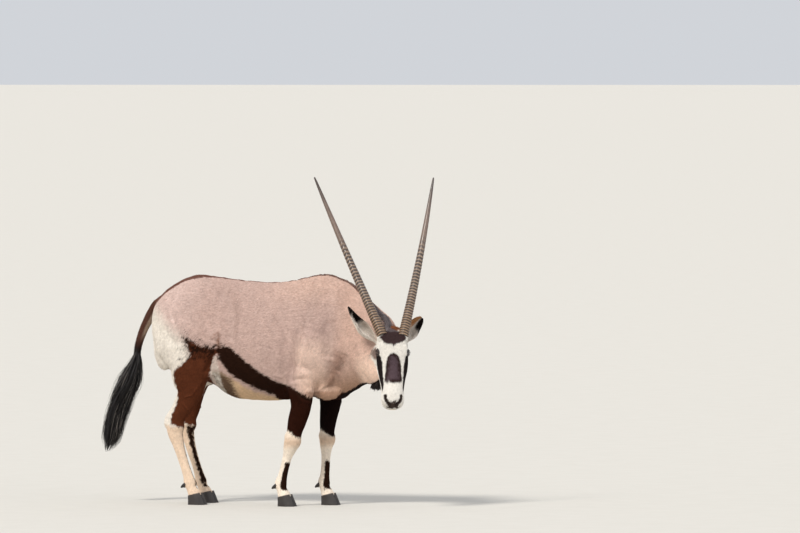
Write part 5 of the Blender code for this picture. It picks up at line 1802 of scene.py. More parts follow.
def closed_off(tree: Tree, pattern: bpy.types.Node, **inputs: object) -> None:
    """Ends a finish: the point colours times a pattern feed one shader, which feeds the output.

    Args:
        tree: the node tree.
        pattern: the factor of the colours.
        inputs: the shader's other inputs.
    """
    tone = added(
        tree, "Mix", {"data_type": "RGBA", "blend_type": "MULTIPLY"},
        n0=1.0, n6=point_values(tree, "coat", "Color"), n7=pattern,
    )
    shader = added(tree, "BsdfPrincipled", Base_Color=tone.outputs[2], **inputs)
    added(tree, "OutputMaterial", Surface=shader)


@dataclass(frozen=True)
class HairFinish:
    """Keratin hair: matt, with a faint satin where the light grazes it.

    The coat's colour comes from the point colours. A mottling of clumps and a fine grain of
    single hairs, drawn coarser than life so that it shows, vary it, and `shade` sets one tuft
    apart from the next.
    """

    name: str
    roughness: float = 0.72
    clump: float = 0.012
    grain: float = 0.0035
    mottle: float = 0.13
    relief: float = 0.25
    gloss: float = 0.05

    def material(self) -> Material:
        """The node material.

        Returns:
            The material.
        """
        material, tree, spot = fresh_tree(self.name)
        clumps = added(tree, "TexNoise", Vector=spot, Scale=1 / self.clump, Detail=3.0, Roughness=0.6)
        grain = added(tree, "TexNoise", Vector=spot, Scale=1 / self.grain, Detail=2.0, Roughness=0.7)
        broad = added(
            tree, "MapRange", Value=clumps, From_Min=0.3, From_Max=0.7,
            To_Min=1 - self.mottle, To_Max=1 + self.mottle * 0.6,
        )
        own = added(tree, "MapRange", Value=point_values(tree, "shade", "Fac"), To_Min=0.74, To_Max=1.24)
        both = added(tree, "Math", {"operation": "MULTIPLY"}, n0=broad, n1=own)
        bump = added(tree, "Bump", Strength=self.relief, Distance=0.002, Height=grain)
        closed_off(
            tree, both, Roughness=self.roughness, Normal=bump, Specular_IOR_Level=self.gloss
        )
        return material


@dataclass(frozen=True)
class HornFinish:
    """Grown horn: dense keratin, satin where it is rubbed, with fibres along it, over point colours that
    paint shade into the rings' hollows.
    """

    name: str
    roughness: float
    fibre: float
    relief: float
    streak: float = 0.22

    def material(self) -> Material:
        """The node material.

        Returns:
            The material.
        """
        material, tree, spot = fresh_tree(self.name)
        long_way = added(tree, "Mapping", Vector=spot, Scale=(1.0, 1.0, 0.12))
        fibres = added(
            tree, "TexNoise", Vector=long_way, Scale=1 / self.fibre, Detail=4.0, Roughness=0.65
        )
        wear = added(tree, "TexNoise", Vector=spot, Scale=28.0, Detail=4.0)
        streaks = added(
            tree, "MapRange", Value=fibres, From_Min=0.3, From_Max=0.7,
            To_Min=1 - self.streak, To_Max=1 + self.streak,
        )
        rubbed = added(tree, "MapRange", Value=wear, From_Min=0.35, From_Max=0.7, To_Min=0.86, To_Max=1.12)
        both = added(tree, "Math", {"operation": "MULTIPLY"}, n0=streaks, n1=rubbed)
        rough = added(
            tree, "MapRange", Value=wear, From_Min=0.3, From_Max=0.7,
            To_Min=self.roughness - 0.08, To_Max=self.roughness + 0.12,
        )
        bump = added(tree, "Bump", Strength=self.relief, Distance=0.0015, Height=fibres)
        closed_off(tree, both, Roughness=rough, Normal=bump, IOR=1.54)
        return material


@dataclass(frozen=True)
class EyeFinish:
    """A living eye: a wet clear cornea over a dark brown iris with a wide level pupil."""

    name: str = "wet_cornea_over_dark_iris"

    def material(self) -> Material:
        """The node material; the iris comes from the point colours, with fine fibres over it.

        Returns:
            The material.
        """
        material, tree, spot = fresh_tree(self.name)
        fibres = added(tree, "TexNoise", Vector=spot, Scale=900.0, Detail=2.0)
        depth = added(tree, "MapRange", Value=fibres, To_Min=0.7, To_Max=1.3)
        closed_off(tree, depth, Roughness=0.25, IOR=1.38, Coat_Weight=1.0, Coat_Roughness=0.03)
        return material


class Look(Enum):
    """All finishes of the animal."""

    SKIN = HairFinish("underfur_on_skin", relief=0.4)
    COAT = HairFinish("short_guard_hair")
    LONG = HairFinish("coarse_tail_hair", roughness=0.5, grain=0.002, gloss=0.28)
    BARE = HairFinish("bare_moist_skin", roughness=0.45, grain=0.0016, gloss=0.5)
    HORN = HornFinish("ringed_horn", 0.33, 0.006, 0.45)
    HOOF = HornFinish("hoof_horn", 0.4, 0.004, 0.35, 0.12)
    EYE = EyeFinish()


# Eyes and lids


@dataclass
class Eyes:
    """Both eyeballs with closed lids round them and lashes on the upper lid."""

    opening: tuple[float, float] = (0.0152, 0.01)
    slant: float = math.radians(24.0)
    profile: Rows = (
        (-0.04, -0.003), (-0.04, 0.0006), (0.02, 0.0022), (0.16, 0.003), (0.34, 0.0022), (0.52, 0.0026),
        (0.72, 0.0016), (0.95, -0.0004), (1.25, -0.004), (1.1, -0.008), (0.5, -0.007), (0.1, -0.0055),
    )
    lashes: int = 46

    def ball(self, side: Side) -> tuple[Array, Ints, Array]:
        """The eyeball as a fine sphere, with the iris and pupil as colours of its points.

        Args:
            side: which eye.

        Returns:
            Places, faces and linear colours.
        """
        centre, axes = HEAD.eye_centre(side), HEAD.eye_axes(side)
        order = axes[[1, 2, 0]]
        points, faces = egg(centre, order, np.full(3, HEAD.eye_radius), 72, 96)
        away = (points - centre) @ axes.T
        c, s = math.cos(self.slant), math.sin(self.slant)
        long_way, short_way = away[:, 1] * c + away[:, 2] * s, away[:, 2] * c - away[:, 1] * s
        ring = np.hypot(away[:, 1], away[:, 2])
        pupil = eased(1.08, 0.92, np.sqrt((long_way / 0.0072) ** 2 + (short_way / 0.0034) ** 2))
        iris = eased(0.0138, 0.0126, ring)
        colour = linear("B9A595") + np.zeros((len(points), 1))
        for share, code in ((iris, "3A2013"), (iris * eased(0.01, 0.013, ring), "1A0E09"), (pupil, "040303")):
            colour = tinted(colour, share, code)
        return points, faces, colour

    def rim(self, side: Side, turn: Array, grow: Array, lift: Array) -> Array:
        """Places round the eye: an almond scaled by 1 + grow, on a dome, raised by lift.

        Args:
            side: which eye.
            turn: angles round the opening (n,).
            grow: how far out each row lies, as a share of the opening (m,).
            lift: height over the dome of each row (m,).

        Returns:
            Places (m, n, 3).
        """
        centre, (look, down, across) = HEAD.eye_centre(side), HEAD.eye_axes(side)
        wide, high = self.opening
        u = np.cos(turn) * wide
        v = np.sign(np.sin(turn)) * np.abs(np.sin(turn)) ** 1.25 * high
        scale_u = wide * grow[:, None] * 0.75 * np.cos(turn) + u
        scale_v = wide * grow[:, None] * 0.85 * np.sin(turn) + v
        c, s = math.cos(self.slant), math.sin(self.slant)
        a, b = scale_u * c - scale_v * s, scale_u * s + scale_v * c
        r = np.hypot(a, b)
        ball = np.sqrt(np.maximum(HEAD.eye_radius**2 - r**2, 0.0))
        dome = HEAD.eye_radius - r**2 / 0.05
        share = eased(0.01, 0.018, r)
        height = ball * (1 - share) + np.maximum(dome, ball) * share + lift[:, None]
        return centre + a[..., None] * down + b[..., None] * across + height[..., None] * look

    def lids(self, side: Side) -> Mesh:
        """Both lids as one closed ring: a profile carried round the almond.

        Args:
            side: which eye.

        Returns:
            Places and three-sided faces.
        """
        rows = np.array(self.profile)
        grid = np.transpose(self.rim(side, np.arange(72) * TURN / 72, rows[:, 0], rows[:, 1]), (1, 0, 2))
        count, around = grid.shape[:2]
        i, j = np.meshgrid(np.arange(count), np.arange(around), indexing="ij")
        ni, nj = (i + 1) % count, (j + 1) % around
        quads = np.stack([i * around + j, i * around + nj, ni * around + nj, ni * around + j], -1)
        points = grid.reshape(-1, 3)
        return points, outward(points, halved(quads.reshape(-1, 4)))

    def lash_row(self, side: Side, draw: Draw) -> Mesh:
        """Lashes along the upper lid, fanned out and down.

        Args:
            side: which eye.
            draw: the seeded source.

        Returns:
            Places and faces.
        """
        count = self.lashes
        upper = math.pi / 2 if side is Side.LEFT else math.pi * 1.5
        turn = upper + np.linspace(-1.15, 1.15, count) + draw.normal(0, 0.02, count)
        root = self.rim(side, turn, np.array([0.06]), np.array([0.002]))[0]
        look, down, _ = HEAD.eye_axes(side)
        way = unit(unit(root - HEAD.eye_centre(side)) * 0.9 + look * 0.5 + down * 0.25)
        normal = unit(np.cross(way, np.cross(look, way)))
        size = np.full(count, 0.0085) * draw.uniform(0.7, 1.1, count)
        return tuft_mesh(root, way, normal, size, np.full(count, 0.0006), np.full(count, 0.35), draw)

    def make(self, shop: Workshop) -> None:
        """Makes eyeballs, lids and lashes for both sides.

        Args:
            shop: where pieces are made.
        """
        draw = np.random.default_rng(3)
        for side in Side:
            points, faces, colour = self.ball(side)
            name = side.name.lower()
            shop.piece(f"eyeball_{name}", (points, faces), colour, None, Look.EYE, "eye", f"eye_{name}")
        lids = joined([self.lids(side) for side in Side])
        edge = np.tile(np.arange(len(self.profile)) < 3, 72 * len(Side))
        tone = np.where(edge[:, None], linear("15100F"), linear("241C1B"))
        shop.piece("lids", lids, tone, 0.5, Look.BARE, "face_coat")
        lashes = joined([self.lash_row(side, draw) for side in Side])
        tone = np.tile(linear("14100E"), (len(lashes[0]), 1))
        shop.piece("lashes", lashes, tone, 0.5, Look.LONG, "face_coat", smooth=False)


# Ears


@dataclass
class Ear:
    """One leaf-shaped ear, cupped, with its markings and its inner fringe."""

    side: Side
    half_width: float = 0.039
    thickness: float = 0.0045
    rows: int = 56
    across: int = 25

    def axes(self) -> tuple[Array, Array, float, Array, Array]:
        """Root, direction, length, open side and width direction.

        Returns:
            The five, in this order.
        """
        if self.side is Side.RIGHT:
            root, roll = HEAD.frame.place((0.027, -0.057, -0.077)), math.radians(58.0)
            tip, cup = np.array([0.581, -0.324, 1.044]), np.array([0.42, -0.86, -0.35])
        else:
            root, roll = HEAD.frame.place((0.024, -0.057, 0.077)), 0.0
            tip, cup = np.array([0.8832, -0.053, 0.984]), np.array([0.7, -0.7, -0.15])
        length = float(np.linalg.norm(tip - root))
        ahead = (tip - root) / length
        cup = unit(cup - ahead * (cup @ ahead))
        cup = cup * math.cos(roll) + np.cross(ahead, cup) * math.sin(roll)
        return root, ahead, length, cup, np.cross(ahead, cup)

    def build(self) -> tuple[Array, Ints, Array, Array, Array]:
        """Crescent sections from root to tip: an outer arc, and an inner one drawn in by the thickness.

        Returns:
            Places, faces, and for each place its share along, its share across and whether it is inside.
        """
        root, ahead, length, cup, wide = self.axes()
        t = np.linspace(-0.055, 1.0, self.rows)
        rise = np.maximum(t, 0.0)
        swell = np.sin(math.pi / 2 * np.minimum(1.0, rise / 0.45)) ** 1.2
        end = np.sqrt(np.maximum(1.0 - np.maximum(0.0, (rise - 0.45) / 0.56) ** 2, 0.012))
        narrowing = 0.5 if self.side is Side.RIGHT else 0.0
        end = end * (1 - narrowing * np.maximum(0.0, rise - 0.4) / 0.6)
        half = self.half_width * (0.36 + 0.64 * swell) * end
        spread = np.radians(128.0 - 62.0 * np.minimum(rise / 0.7, 1.0))
        hollow = np.clip((rise - 0.06) / 0.22, 0.0, 1.0)[:, None]
        radius = (half / np.sin(np.minimum(spread, math.pi / 2)))[:, None]
        thick = (self.thickness * (1.6 - 0.9 * rise))[:, None] * 0.8
        share = np.linspace(-1.0, 1.0, self.across)[None]
        angle = spread[:, None] * share
        middle = np.cos(spread)[:, None] * 0.5
        centre = root + ahead * (t * length)[:, None] - cup * (0.01 * np.sin(math.pi * rise))[:, None]
        ripple = 0.001 * np.sin(angle * 9.0) * np.sin(math.pi * np.clip(rise, 0, 1))[:, None]
        outer = centre[:, None] + wide * (radius * np.sin(angle))[..., None]
        outer = outer - cup * (radius * (np.cos(angle) - middle))[..., None]
        deep = (radius - thick + ripple) * (np.cos(angle) - middle)
        depth = deep * hollow + (-middle * radius + thick * 0.2) * (1 - hollow)
        inner = centre[:, None] + wide * ((radius - thick) * np.sin(angle))[..., None]
        inner = inner - cup * depth[..., None]
        rings = np.concatenate([outer, inner[:, ::-1]], axis=1)
        points, faces = capped(rings)
        along = np.append(np.repeat(rise, 2 * self.across), [0.0, 1.0])
        over = np.broadcast_to(share, (self.rows, self.across))
        over = np.append(np.concatenate([over, over[:, ::-1]], axis=1).ravel(), [0.0, 0.0])
        inside = np.append(np.tile(np.arange(2 * self.across) >= self.across, self.rows), [False, False])
        return points, faces, along, over, inside

    def colours(self, along: Array, over: Array, inside: Array) -> Array:
        """White below with painted grey shade down the middle of the hollow, a black tip that reaches down
        the outer edge, and tan on the left ear's front edge.

        Args:
            along: share along the leaf.
            over: share across it, from -1 to 1.
            inside: whether it is the hollow side.

        Returns:
            Linear colours.
        """
        colour = linear("DDD3C8") + np.zeros((len(along), 1))
        # painted shade: grey down the middle of the hollow, towards the root
        deep = eased(0.45, 0.1, np.abs(over)) * inside * eased(0.65, 0.4, along)
        tan = 0.2 * eased(0.6, 0.9, over)
        edge = eased(0.84, 0.98, np.abs(over)) * eased(0.3, 0.55, along)
        reach = along + 0.1 * np.clip(over, -1.0, 1.0)
        tip = eased(0.52, 0.62, reach) * eased(-0.62, -0.34, over + 1.6 * (along - 0.8))
        if self.side is Side.LEFT:
            tan = eased(0.42, 0.62, along) * eased(0.15, -0.25, over) + 0.25 * (over < -0.6)
            tip = eased(0.55, 0.68, reach) * eased(0.1, 0.4, over + 1.2 * (along - 0.78))
        colour = tinted(tinted(colour, 0.35 * deep, "9A887C"), np.clip(tan, 0.0, 1.0), "B07F55")
        return tinted(tinted(colour, 0.8 * edge, "4A3226"), tip, "17100E")

    def make(self, shop: Workshop) -> None:
        """Makes the ear, its short hair and the long hair of its inner edges.

        Args:
            shop: where pieces are made.
        """
        draw = np.random.default_rng(41 + self.side.value)
        name = self.side.name.lower()
        points, faces, along, over, inside = self.build()
        colours = self.colours(along, over, inside)
        shop.piece(f"ear_leaf_{name}", (points, faces), colours, 0.45, Look.SKIN, "ear_coat", f"ear_{name}")
        normals = point_normals(points, faces)
        at, wide = along[faces].mean(axis=1), over[faces].mean(axis=1)
        within = inside[faces].all(axis=1)
        area = face_areas(points, faces) * ((at > 0.06) & (at < 0.985))
        _, ahead, _, _, across = self.axes()
        parts, roots, tones = [], [], []
        for count, share, longest, broad, lift, inner in (
            (3600, area * ~within, 0.0075, 0.0022, 10.0, False),
            (1700, area * within, 0.009, 0.0018, 14.0, True),
            (900, area * (within & (np.abs(wide) > 0.45)) * (at < 0.8), 0.023, 0.0016, 26.0, True),
        ):
            root, normal = sown(points, faces, normals, share, count, draw)
            nearest = self.shares(root)
            way = ahead + np.zeros((count, 1))
            if inner:
                way = way - across * (np.sign(nearest[:, 1]) * 0.7)[:, None]
            length = np.minimum(longest * draw.uniform(0.6, 1.2, count), (1.0 - nearest[:, 0]) * 0.16 + 0.004)
            way = along_skin(way, normal)
            rise = np.radians(lift * draw.uniform(0.4, 1.5, count))
            parts.append(tuft_mesh(root, way, normal, length, np.full(count, broad), rise, draw))
            roots.append(np.column_stack([(nearest[:, 1] + 1) / 4 + (0.5 if inner else 0.0), nearest[:, 0]]))
            tones.append(self.colours(nearest[:, 0], nearest[:, 1], np.full(count, inner)))
        tone = np.repeat(np.vstack(tones), CORNERS, axis=0)
        thing = shop.piece(
            f"ear_hair_{name}", joined(parts), tone, shades(draw, len(tone) // CORNERS, CORNERS, 0.55, 0.15),
            Look.COAT, "ear_coat", smooth=False,
        )
        tuft_map(thing, np.vstack(roots), CORNERS)

    def shares(self, p: Array) -> Array:
        """Share along and across the leaf for each place."""
        root, ahead, length, _, wide = self.axes()
        along = np.clip((p - root) @ ahead / length, 0.0, 1.0)
        return np.column_stack([along, np.clip((p - root) @ wide / self.half_width, -1.0, 1.0)])


# Horns


@dataclass
class Horn:
    """One long horn: rings crowd at its base and fade out, and the upper third is smooth."""

    side: Side
    base: float = 0.0265
    tip: float = 0.0035
    rings: float = 34.0
    ringed: float = 0.66
    height: float = 0.105
    rows: int = 620
    around: int = 40

    def path(self, share: Array) -> Array:
        """Middles: a straight line from skull to tip, bowed by a half sine.

        Args:
            share: shares along the horn.

        Returns:
            Places (n, 3).
        """
        if self.side is Side.RIGHT:
            end, bow = np.array([0.3051, -0.1151, 1.7077]), np.array([-0.01, 0.016, 0.0])
        else:
            end, bow = np.array([0.8769, 0.1159, 1.7056]), np.array([0.005, 0.01, 0.0])
        root = HEAD.frame.place((0.016, -0.006, self.side.value * 0.0535))
        t = share[:, None]
        return root + (end - root) * t + bow * np.sin(math.pi * t)

    def make(self, shop: Workshop) -> None:
        """Makes the horn.

        The plain radius falls as (1 - s)^0.70. Ring number grows as 1 - (1 - x)^1.3 of the ringed
        share, each ring is steep below and sloping above, and it is weaker behind than in front.

        Args:
            shop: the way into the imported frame, and the finishes.
        """
        s = np.linspace(0.0, 1.0, self.rows)
        plain = self.tip + (self.base - self.tip) * (1 - s) ** 0.7
        plain[-3:] *= (0.85, 0.6, 0.2)
        middle = self.path(s)[:, None]
        outward_ways = rope(self.path(s), np.ones(self.rows), self.around) - middle
        x = np.clip(s / self.ringed, 0.0, 1.0)
        turn = np.arange(self.around) * TURN / self.around
        wobble = 0.1 * np.sin(turn * 2 + 0.7)[None] + 0.05 * np.sin(turn * 3)[None]
        phase = (self.rings * (1 - (1 - x) ** 1.3))[:, None] + wobble
        part = phase % 1.0
        ridge = np.where(part < 0.35, eased(0.0, 0.35, part), eased(1.0, 0.35, part))
        fade = eased(1.0, 0.72, x)[:, None]
        front = 0.5 + 0.5 * (outward_ways @ HEAD.frame.way((0.0, 0.9, self.side.value * 0.3)))
        strength = self.height * fade * (0.45 + 0.55 * front)
        draw = np.random.default_rng(60 + self.side.value)
        each = draw.uniform(0.7, 1.25, 40)[np.clip(phase.astype(int), 0, 39)]
        flute = 0.012 * np.sin(turn * 7 + 3 * s[:, None])
        radius = plain[:, None] * (1 + strength * each * (ridge - 0.45) + flute * (1 - s[:, None]))
        name = self.side.name.lower()
        shop.piece(
            f"horn_sheath_{name}", capped(middle + outward_ways * radius[..., None]),
            self.colours(s, fade, ridge), None, Look.HORN, "horn", f"horn_{name}",
        )

    def colours(self, s: Array, fade: Array, ridge: Array) -> Array:
        """Brown at the base and dark at the tip, with painted shade in each groove and a painted highlight on
        the crown of each ring.

        Args:
            s: shares along the horn.
            fade: how strongly each row is ringed.
            ridge: height in the ring, from 0 to 1, for each place.

        Returns:
            Linear colours of the walls and of the two end points.
        """
        base, mid, dark = linear("775A42"), linear("6E5C51"), linear("3A2E28")
        colour = base + (mid - base) * eased(0.0, 0.35, s)[:, None]
        colour = colour + (dark - colour) * eased(0.72, 0.98, s)[:, None]
        colour = np.repeat(colour[:, None], self.around, axis=1)
        # painted shade in the groove between rings
        groove = (fade * eased(0.7, 0.15, ridge))[..., None]
        colour = colour + 0.88 * groove * (linear("261F1B") - colour)
        # painted highlight on the crown of each ring
        crown = (fade * eased(0.75, 1.0, ridge))[..., None]
        colour = colour + 0.45 * crown * (linear("B09A7E") - colour)
        return np.vstack([colour.reshape(-1, 3), colour[0, 0], colour[-1, 0]])


# Hooves


@dataclass
class Hooves:
    """The claws and dewclaws of one leg."""

    leg: Leg
    length: float = 0.096
    width: float = 0.035
    cleft: float = 0.003
    coronet: float = 0.056
    slope: float = math.tan(math.radians(14.0))
    gap: float = 0.0003
    around: int = 44

    def claw(self, toe: int) -> tuple[Array, Ints, Array]:
        """Half a hoof: ovals with a pinched toe from the flat sole to the sloping coronet.

        Args:
            toe: -1 or 1, the sign of Y from the cleft.

        Returns:
            Places, faces, and the share of each place up the wall.
        """
        x0, y0 = self.leg.rows[-1][:2]
        middle = y0 + toe * (self.width / 2 + self.cleft / 2)
        t = np.concatenate([[0.0], np.linspace(0.03, 1.0, 26)])[:, None]
        length = self.length + (0.066 - self.length) * t**0.8
        width = self.width + (0.0305 - self.width) * t
        worn = np.interp(t, (0.0, 0.03, 0.12), (1.0, 0.35, 0.0))
        length, width = length - 0.004 * worn, width - 0.003 * worn
        line = 0.0004 * np.sin(t * 62.0) * eased(0.05, 0.2, t) * eased(1.0, 0.9, t)
        angle = (np.arange(self.around) * TURN / self.around)[None]
        x = np.cos(angle) * (length / 2 + line)
        y = np.sin(angle) * (width / 2 + line * 0.6) * (1 - 0.62 * np.clip(np.cos(angle), 0, 1) ** 2)
        px, py = x0 + 0.014 * (1 - t) + x, middle + y
        top = self.coronet - self.gap + (px - x0) * self.slope
        rings = np.stack([px, py, np.clip(t * top, 0.0, None)], -1)
        points, faces = capped(rings)
        share = np.append(np.repeat(t.ravel(), self.around), [0.0, 1.0])
        return points, faces, share

    def dewclaw(self, toe: int) -> Mesh:
        """A small cone of horn behind the fetlock, along a short straight path.

        Args:
            toe: -1 or 1, the sign of Y from the cleft.

        Returns:
            Places and faces.
        """
        x, y, z = self.leg.rows[-4][:3]
        start = np.array([x - 0.018, y + toe * 0.0135, z - 0.004])
        end = start + (-0.026, toe * 0.004, -0.02)
        s = np.array((0.0, 0.15, 0.3, 0.45, 0.6, 0.72, 0.84, 0.94, 1.0))
        thick = np.interp(s, (0.0, 0.4, 0.75, 1.0), (0.0098, 0.0092, 0.007, 0.003))
        thick[-1] *= 0.6
        return capped(rope(start + (end - start) * s[:, None], thick, 18))

    def make(self, shop: Workshop) -> None:
        """Makes the two claws and two dewclaws.

        Args:
            shop: where pieces are made.
        """
        for toe in (-1, 1):
            where = f"{self.leg.name}_{'outer' if toe * self.leg.side() > 0 else 'inner'}"
            *claw, share = self.claw(toe)
            growth_line = 0.5 + 0.5 * np.sin(share * 62.0)
            colour = linear("26211F") + 0.5 * growth_line[:, None] * (linear("3A332E") - linear("26211F"))
            colour = tinted(colour, eased(0.86, 1.0, share), "4A4038")
            shop.piece(f"hoof_{where}", claw, colour, None, Look.HOOF, "hoof_horn", f"claw_{where}")
            spur = self.dewclaw(toe)
            tone = np.tile(linear("231E1C"), (len(spur[0]), 1))
            shop.piece(f"spur_{where}", spur, tone, None, Look.HOOF, "hoof_horn", f"dewclaw_{where}")


# Tail


@dataclass
class Tail:
    """The dock, its short hair, and the long black tuft with grey streaks."""

    drawn: Rows = (
        (-0.588, 0.0, 1.06), (-0.624, 0.0, 1.037), (-0.656, 0.0, 0.999), (-0.684, 0.0, 0.953),
        (-0.716, -0.002, 0.886), (-0.736, -0.006, 0.82), (-0.745, -0.01, 0.75), (-0.77, -0.018, 0.66),
        (-0.817, -0.026, 0.55), (-0.862, -0.034, 0.41), (-0.882, -0.038, 0.32), (-0.902, -0.04, 0.262),
    )
    dock_end: float = 16 / 39
    dock_sides: int = 28
    hair_start: float = 13 / 39
    locks: int = 620
    strands: int = 1500
    dock_tufts: int = 5200

    def path(self, share: Array) -> Array:
        """Places along the tail, even by length."""
        rows = flowing(self.drawn, 6)
        at = np.concatenate([[0.0], np.cumsum(np.linalg.norm(np.diff(rows, axis=0), axis=1))])
        return at_shares(at / at[-1], rows, share)

    def dock(self) -> tuple[Array, Ints, Array]:
        """The fleshy part: a rope that thins along the way.

        Returns:
            Places, faces and the share of each place.
        """
        s = np.linspace(0.0, self.dock_end, 70)
        thick = np.interp(s, (0.0, 0.1, 0.35, 0.5), (0.034, 0.027, 0.017, 0.013)) - 0.0015
        thick[-3:] *= (0.9, 0.7, 0.35)
        points, faces = capped(rope(self.path(s), thick, self.dock_sides))
        return points, faces, np.append(np.repeat(s, self.dock_sides), [0.0, self.dock_end])

    def radius(self, share: Array) -> Array:
        """Half the width of the tuft along its hair."""
        return np.interp(share, (0.0, 0.12, 0.3, 0.6, 0.88, 1.0), (0.021, 0.05, 0.061, 0.056, 0.044, 0.014))

    def hair(self, count: int, rows: int, width: Array, thick: Array, loose: float, draw: Draw,
             ) -> tuple[Array, Ints, Array, Array]:
        """Locks that leave the middle of the tail, swing out to the tuft's width and hang to ragged ends.

        Args:
            count: how many.
            rows: places along each.
            width: metres across each.
            thick: metres through each.
            loose: how far they stray past the tuft's own width, as a share.
            draw: the seeded source.

        Returns:
            Places, faces, the share along the tail of each lock's root, and its turn.
        """
        fine = np.linspace(0.0, 1.0, 200)
        hair = self.path(self.hair_start + (1 - self.hair_start) * fine)
        ahead = unit(np.gradient(hair, axis=0))
        side = unit(np.cross(ahead, np.tile((0.0, 1.0, 0.0), (200, 1))))
        other = np.cross(ahead, side)
        tier = draw.random(count)
        begin = 0.58 * tier**0.85
        end = np.minimum(begin + draw.uniform(0.3, 0.48, count) + 0.18 * tier, draw.uniform(0.86, 1.0, count))
        turn = draw.uniform(0, TURN, count)
        t = np.linspace(0.0, 1.0, rows)[None]
        at = begin[:, None] + (end - begin)[:, None] * t
        tables = (hair, side, other)
        centre, u, v = (at_shares(fine, table, at.ravel()).reshape(count, rows, 3) for table in tables)
        wander = turn[:, None] + draw.uniform(-0.5, 0.5, (count, 1)) * t
        out = u * np.cos(wander)[..., None] + v * np.sin(wander)[..., None]
        root = (self.radius(begin) * 0.34)[:, None]
        full = draw.uniform(0.35, 0.96 + loose, (count, 1))
        swing = np.sin(np.pi / 2 * np.clip(t * 1.35, 0, 1))
        reach = root + (self.radius(at) * full - root) * swing
        beat, start = draw.uniform(4, 9, (count, 1)), draw.uniform(0, TURN, (count, 1))
        wave = 0.004 * loose * 4 * np.sin(t * beat + start)
        centres = centre + out * (reach + wave * t)[..., None]
        broad = np.cross(np.gradient(centres, axis=1), out)
        points, faces = lock_mesh(centres, broad, width, thick)
        return points, faces, begin, turn

    def dock_tones(self, ways: Array, share: Array, dark_from: float, dark_to: float) -> Array:
        """Brown above, pale below near the root, and black towards the tuft.

        Args:
            ways: directions off the skin at each place.
            share: share along the tail.
            dark_from: where the black starts.
            dark_to: where it is full.

        Returns:
            Linear colours.
        """
        colour = np.tile(linear("5A3C31"), (len(share), 1))
        under = eased(0.25, 0.75, ways[:, 0] * 0.8 - ways[:, 2] * 0.6) * eased(0.3, 0.2, share)
        colour = tinted(colour, 0.7 * under, "C9B29C")
        return tinted(colour, eased(dark_from, dark_to, share), "1C1513")

    def make_dock(self, shop: Workshop, draw: Draw) -> None:
        """Makes the dock and its short hair, laid down the tail.

        Args:
            shop: where pieces are made.
            draw: the seeded source.
        """
        points, faces, share = self.dock()
        normals = point_normals(points, faces)
        colours = self.dock_tones(normals, share, 0.28, 0.36)
        shop.piece("dock", (points, faces), colours, 0.45, Look.SKIN, "dock_coat", "tail_dock")
        area = face_areas(points, faces) * (share[faces].mean(axis=1) > 0.04)
        count = self.dock_tufts
        root, normal = sown(points, faces, normals, area, count, draw)
        fine = np.linspace(0.0, self.dock_end, 60)
        places = self.path(fine)
        at = np.argmin(((root[:, None] - places[None]) ** 2).sum(axis=2), axis=1)
        way = along_skin(unit(np.gradient(places, axis=0))[at], normal)
        share = fine[at]
        length = np.interp(share, (0.0, 0.25, 0.41), (0.013, 0.016, 0.034)) * draw.uniform(0.7, 1.2, count)
        lift = np.radians(draw.uniform(5, 16, count))
        tufts = tuft_mesh(root, way, normal, length, np.full(count, 0.0026), lift, draw)
        tone = np.repeat(self.dock_tones(normal, share, 0.26, 0.35), CORNERS, axis=0)
        shade = shades(draw, count, CORNERS)
        thing = shop.piece("dock_hair", tufts, tone, shade, Look.COAT, "dock_coat", smooth=False)
        turn = np.arctan2(root[:, 1] - places[at][:, 1], root[:, 0] - places[at][:, 0]) / TURN % 1.0
        tuft_map(thing, np.column_stack([turn, share / self.dock_end]), CORNERS)

    def make(self, shop: Workshop) -> None:
        """Makes dock, dock hair, and the tuft: a dark core under locks and loose strands.

        Args:
            shop: where pieces are made.
        """
        draw = np.random.default_rng(21)
        self.make_dock(shop, draw)
        s = np.linspace(0.0, 0.62, 40)
        thick = np.interp(s, (0.0, 0.45, 0.62), (0.017, 0.026, 0.004))
        parts = [capped(rope(self.path(self.hair_start + (1 - self.hair_start) * s), thick, 20))]
        inner = len(parts[0][0])
        tones, lightness = [np.tile(linear("120E0D"), (inner, 1))], [np.full(inner, 0.4)]
        roots = [np.full((inner, 2), 0.5)]
        for count, rows, wide, through, loose, grey in (
            (self.locks, 8, 0.013, 0.004, 0.05, 0.05), (self.strands, 9, 0.0015, 0.0009, 0.24, 0.16)
        ):
            width = wide * draw.uniform(0.6, 1.3, count)
            points, faces, begin, turn = self.hair(count, rows, width, through * width / wide, loose, draw)
            parts.append((points, faces))
            light = draw.random(count) < grey
            tone = np.where(light[:, None], linear("7C756F"), linear("100C0C"))
            tones.append(np.repeat(tone * draw.uniform(0.7, 1.4, (count, 1)), CORNERS * rows, axis=0))
            lightness.append(shades(draw, count, CORNERS * rows, 0.5, 0.18))
            roots.append(np.repeat(np.column_stack([turn / TURN, begin]), CORNERS * rows, axis=0))
        thing = shop.piece(
            "tail_hair", joined(parts), np.vstack(tones), np.concatenate(lightness), Look.LONG, "tuft_hair",
            "tail_tuft",
        )
        lock_map(thing, np.vstack(roots))


# Mane and throat


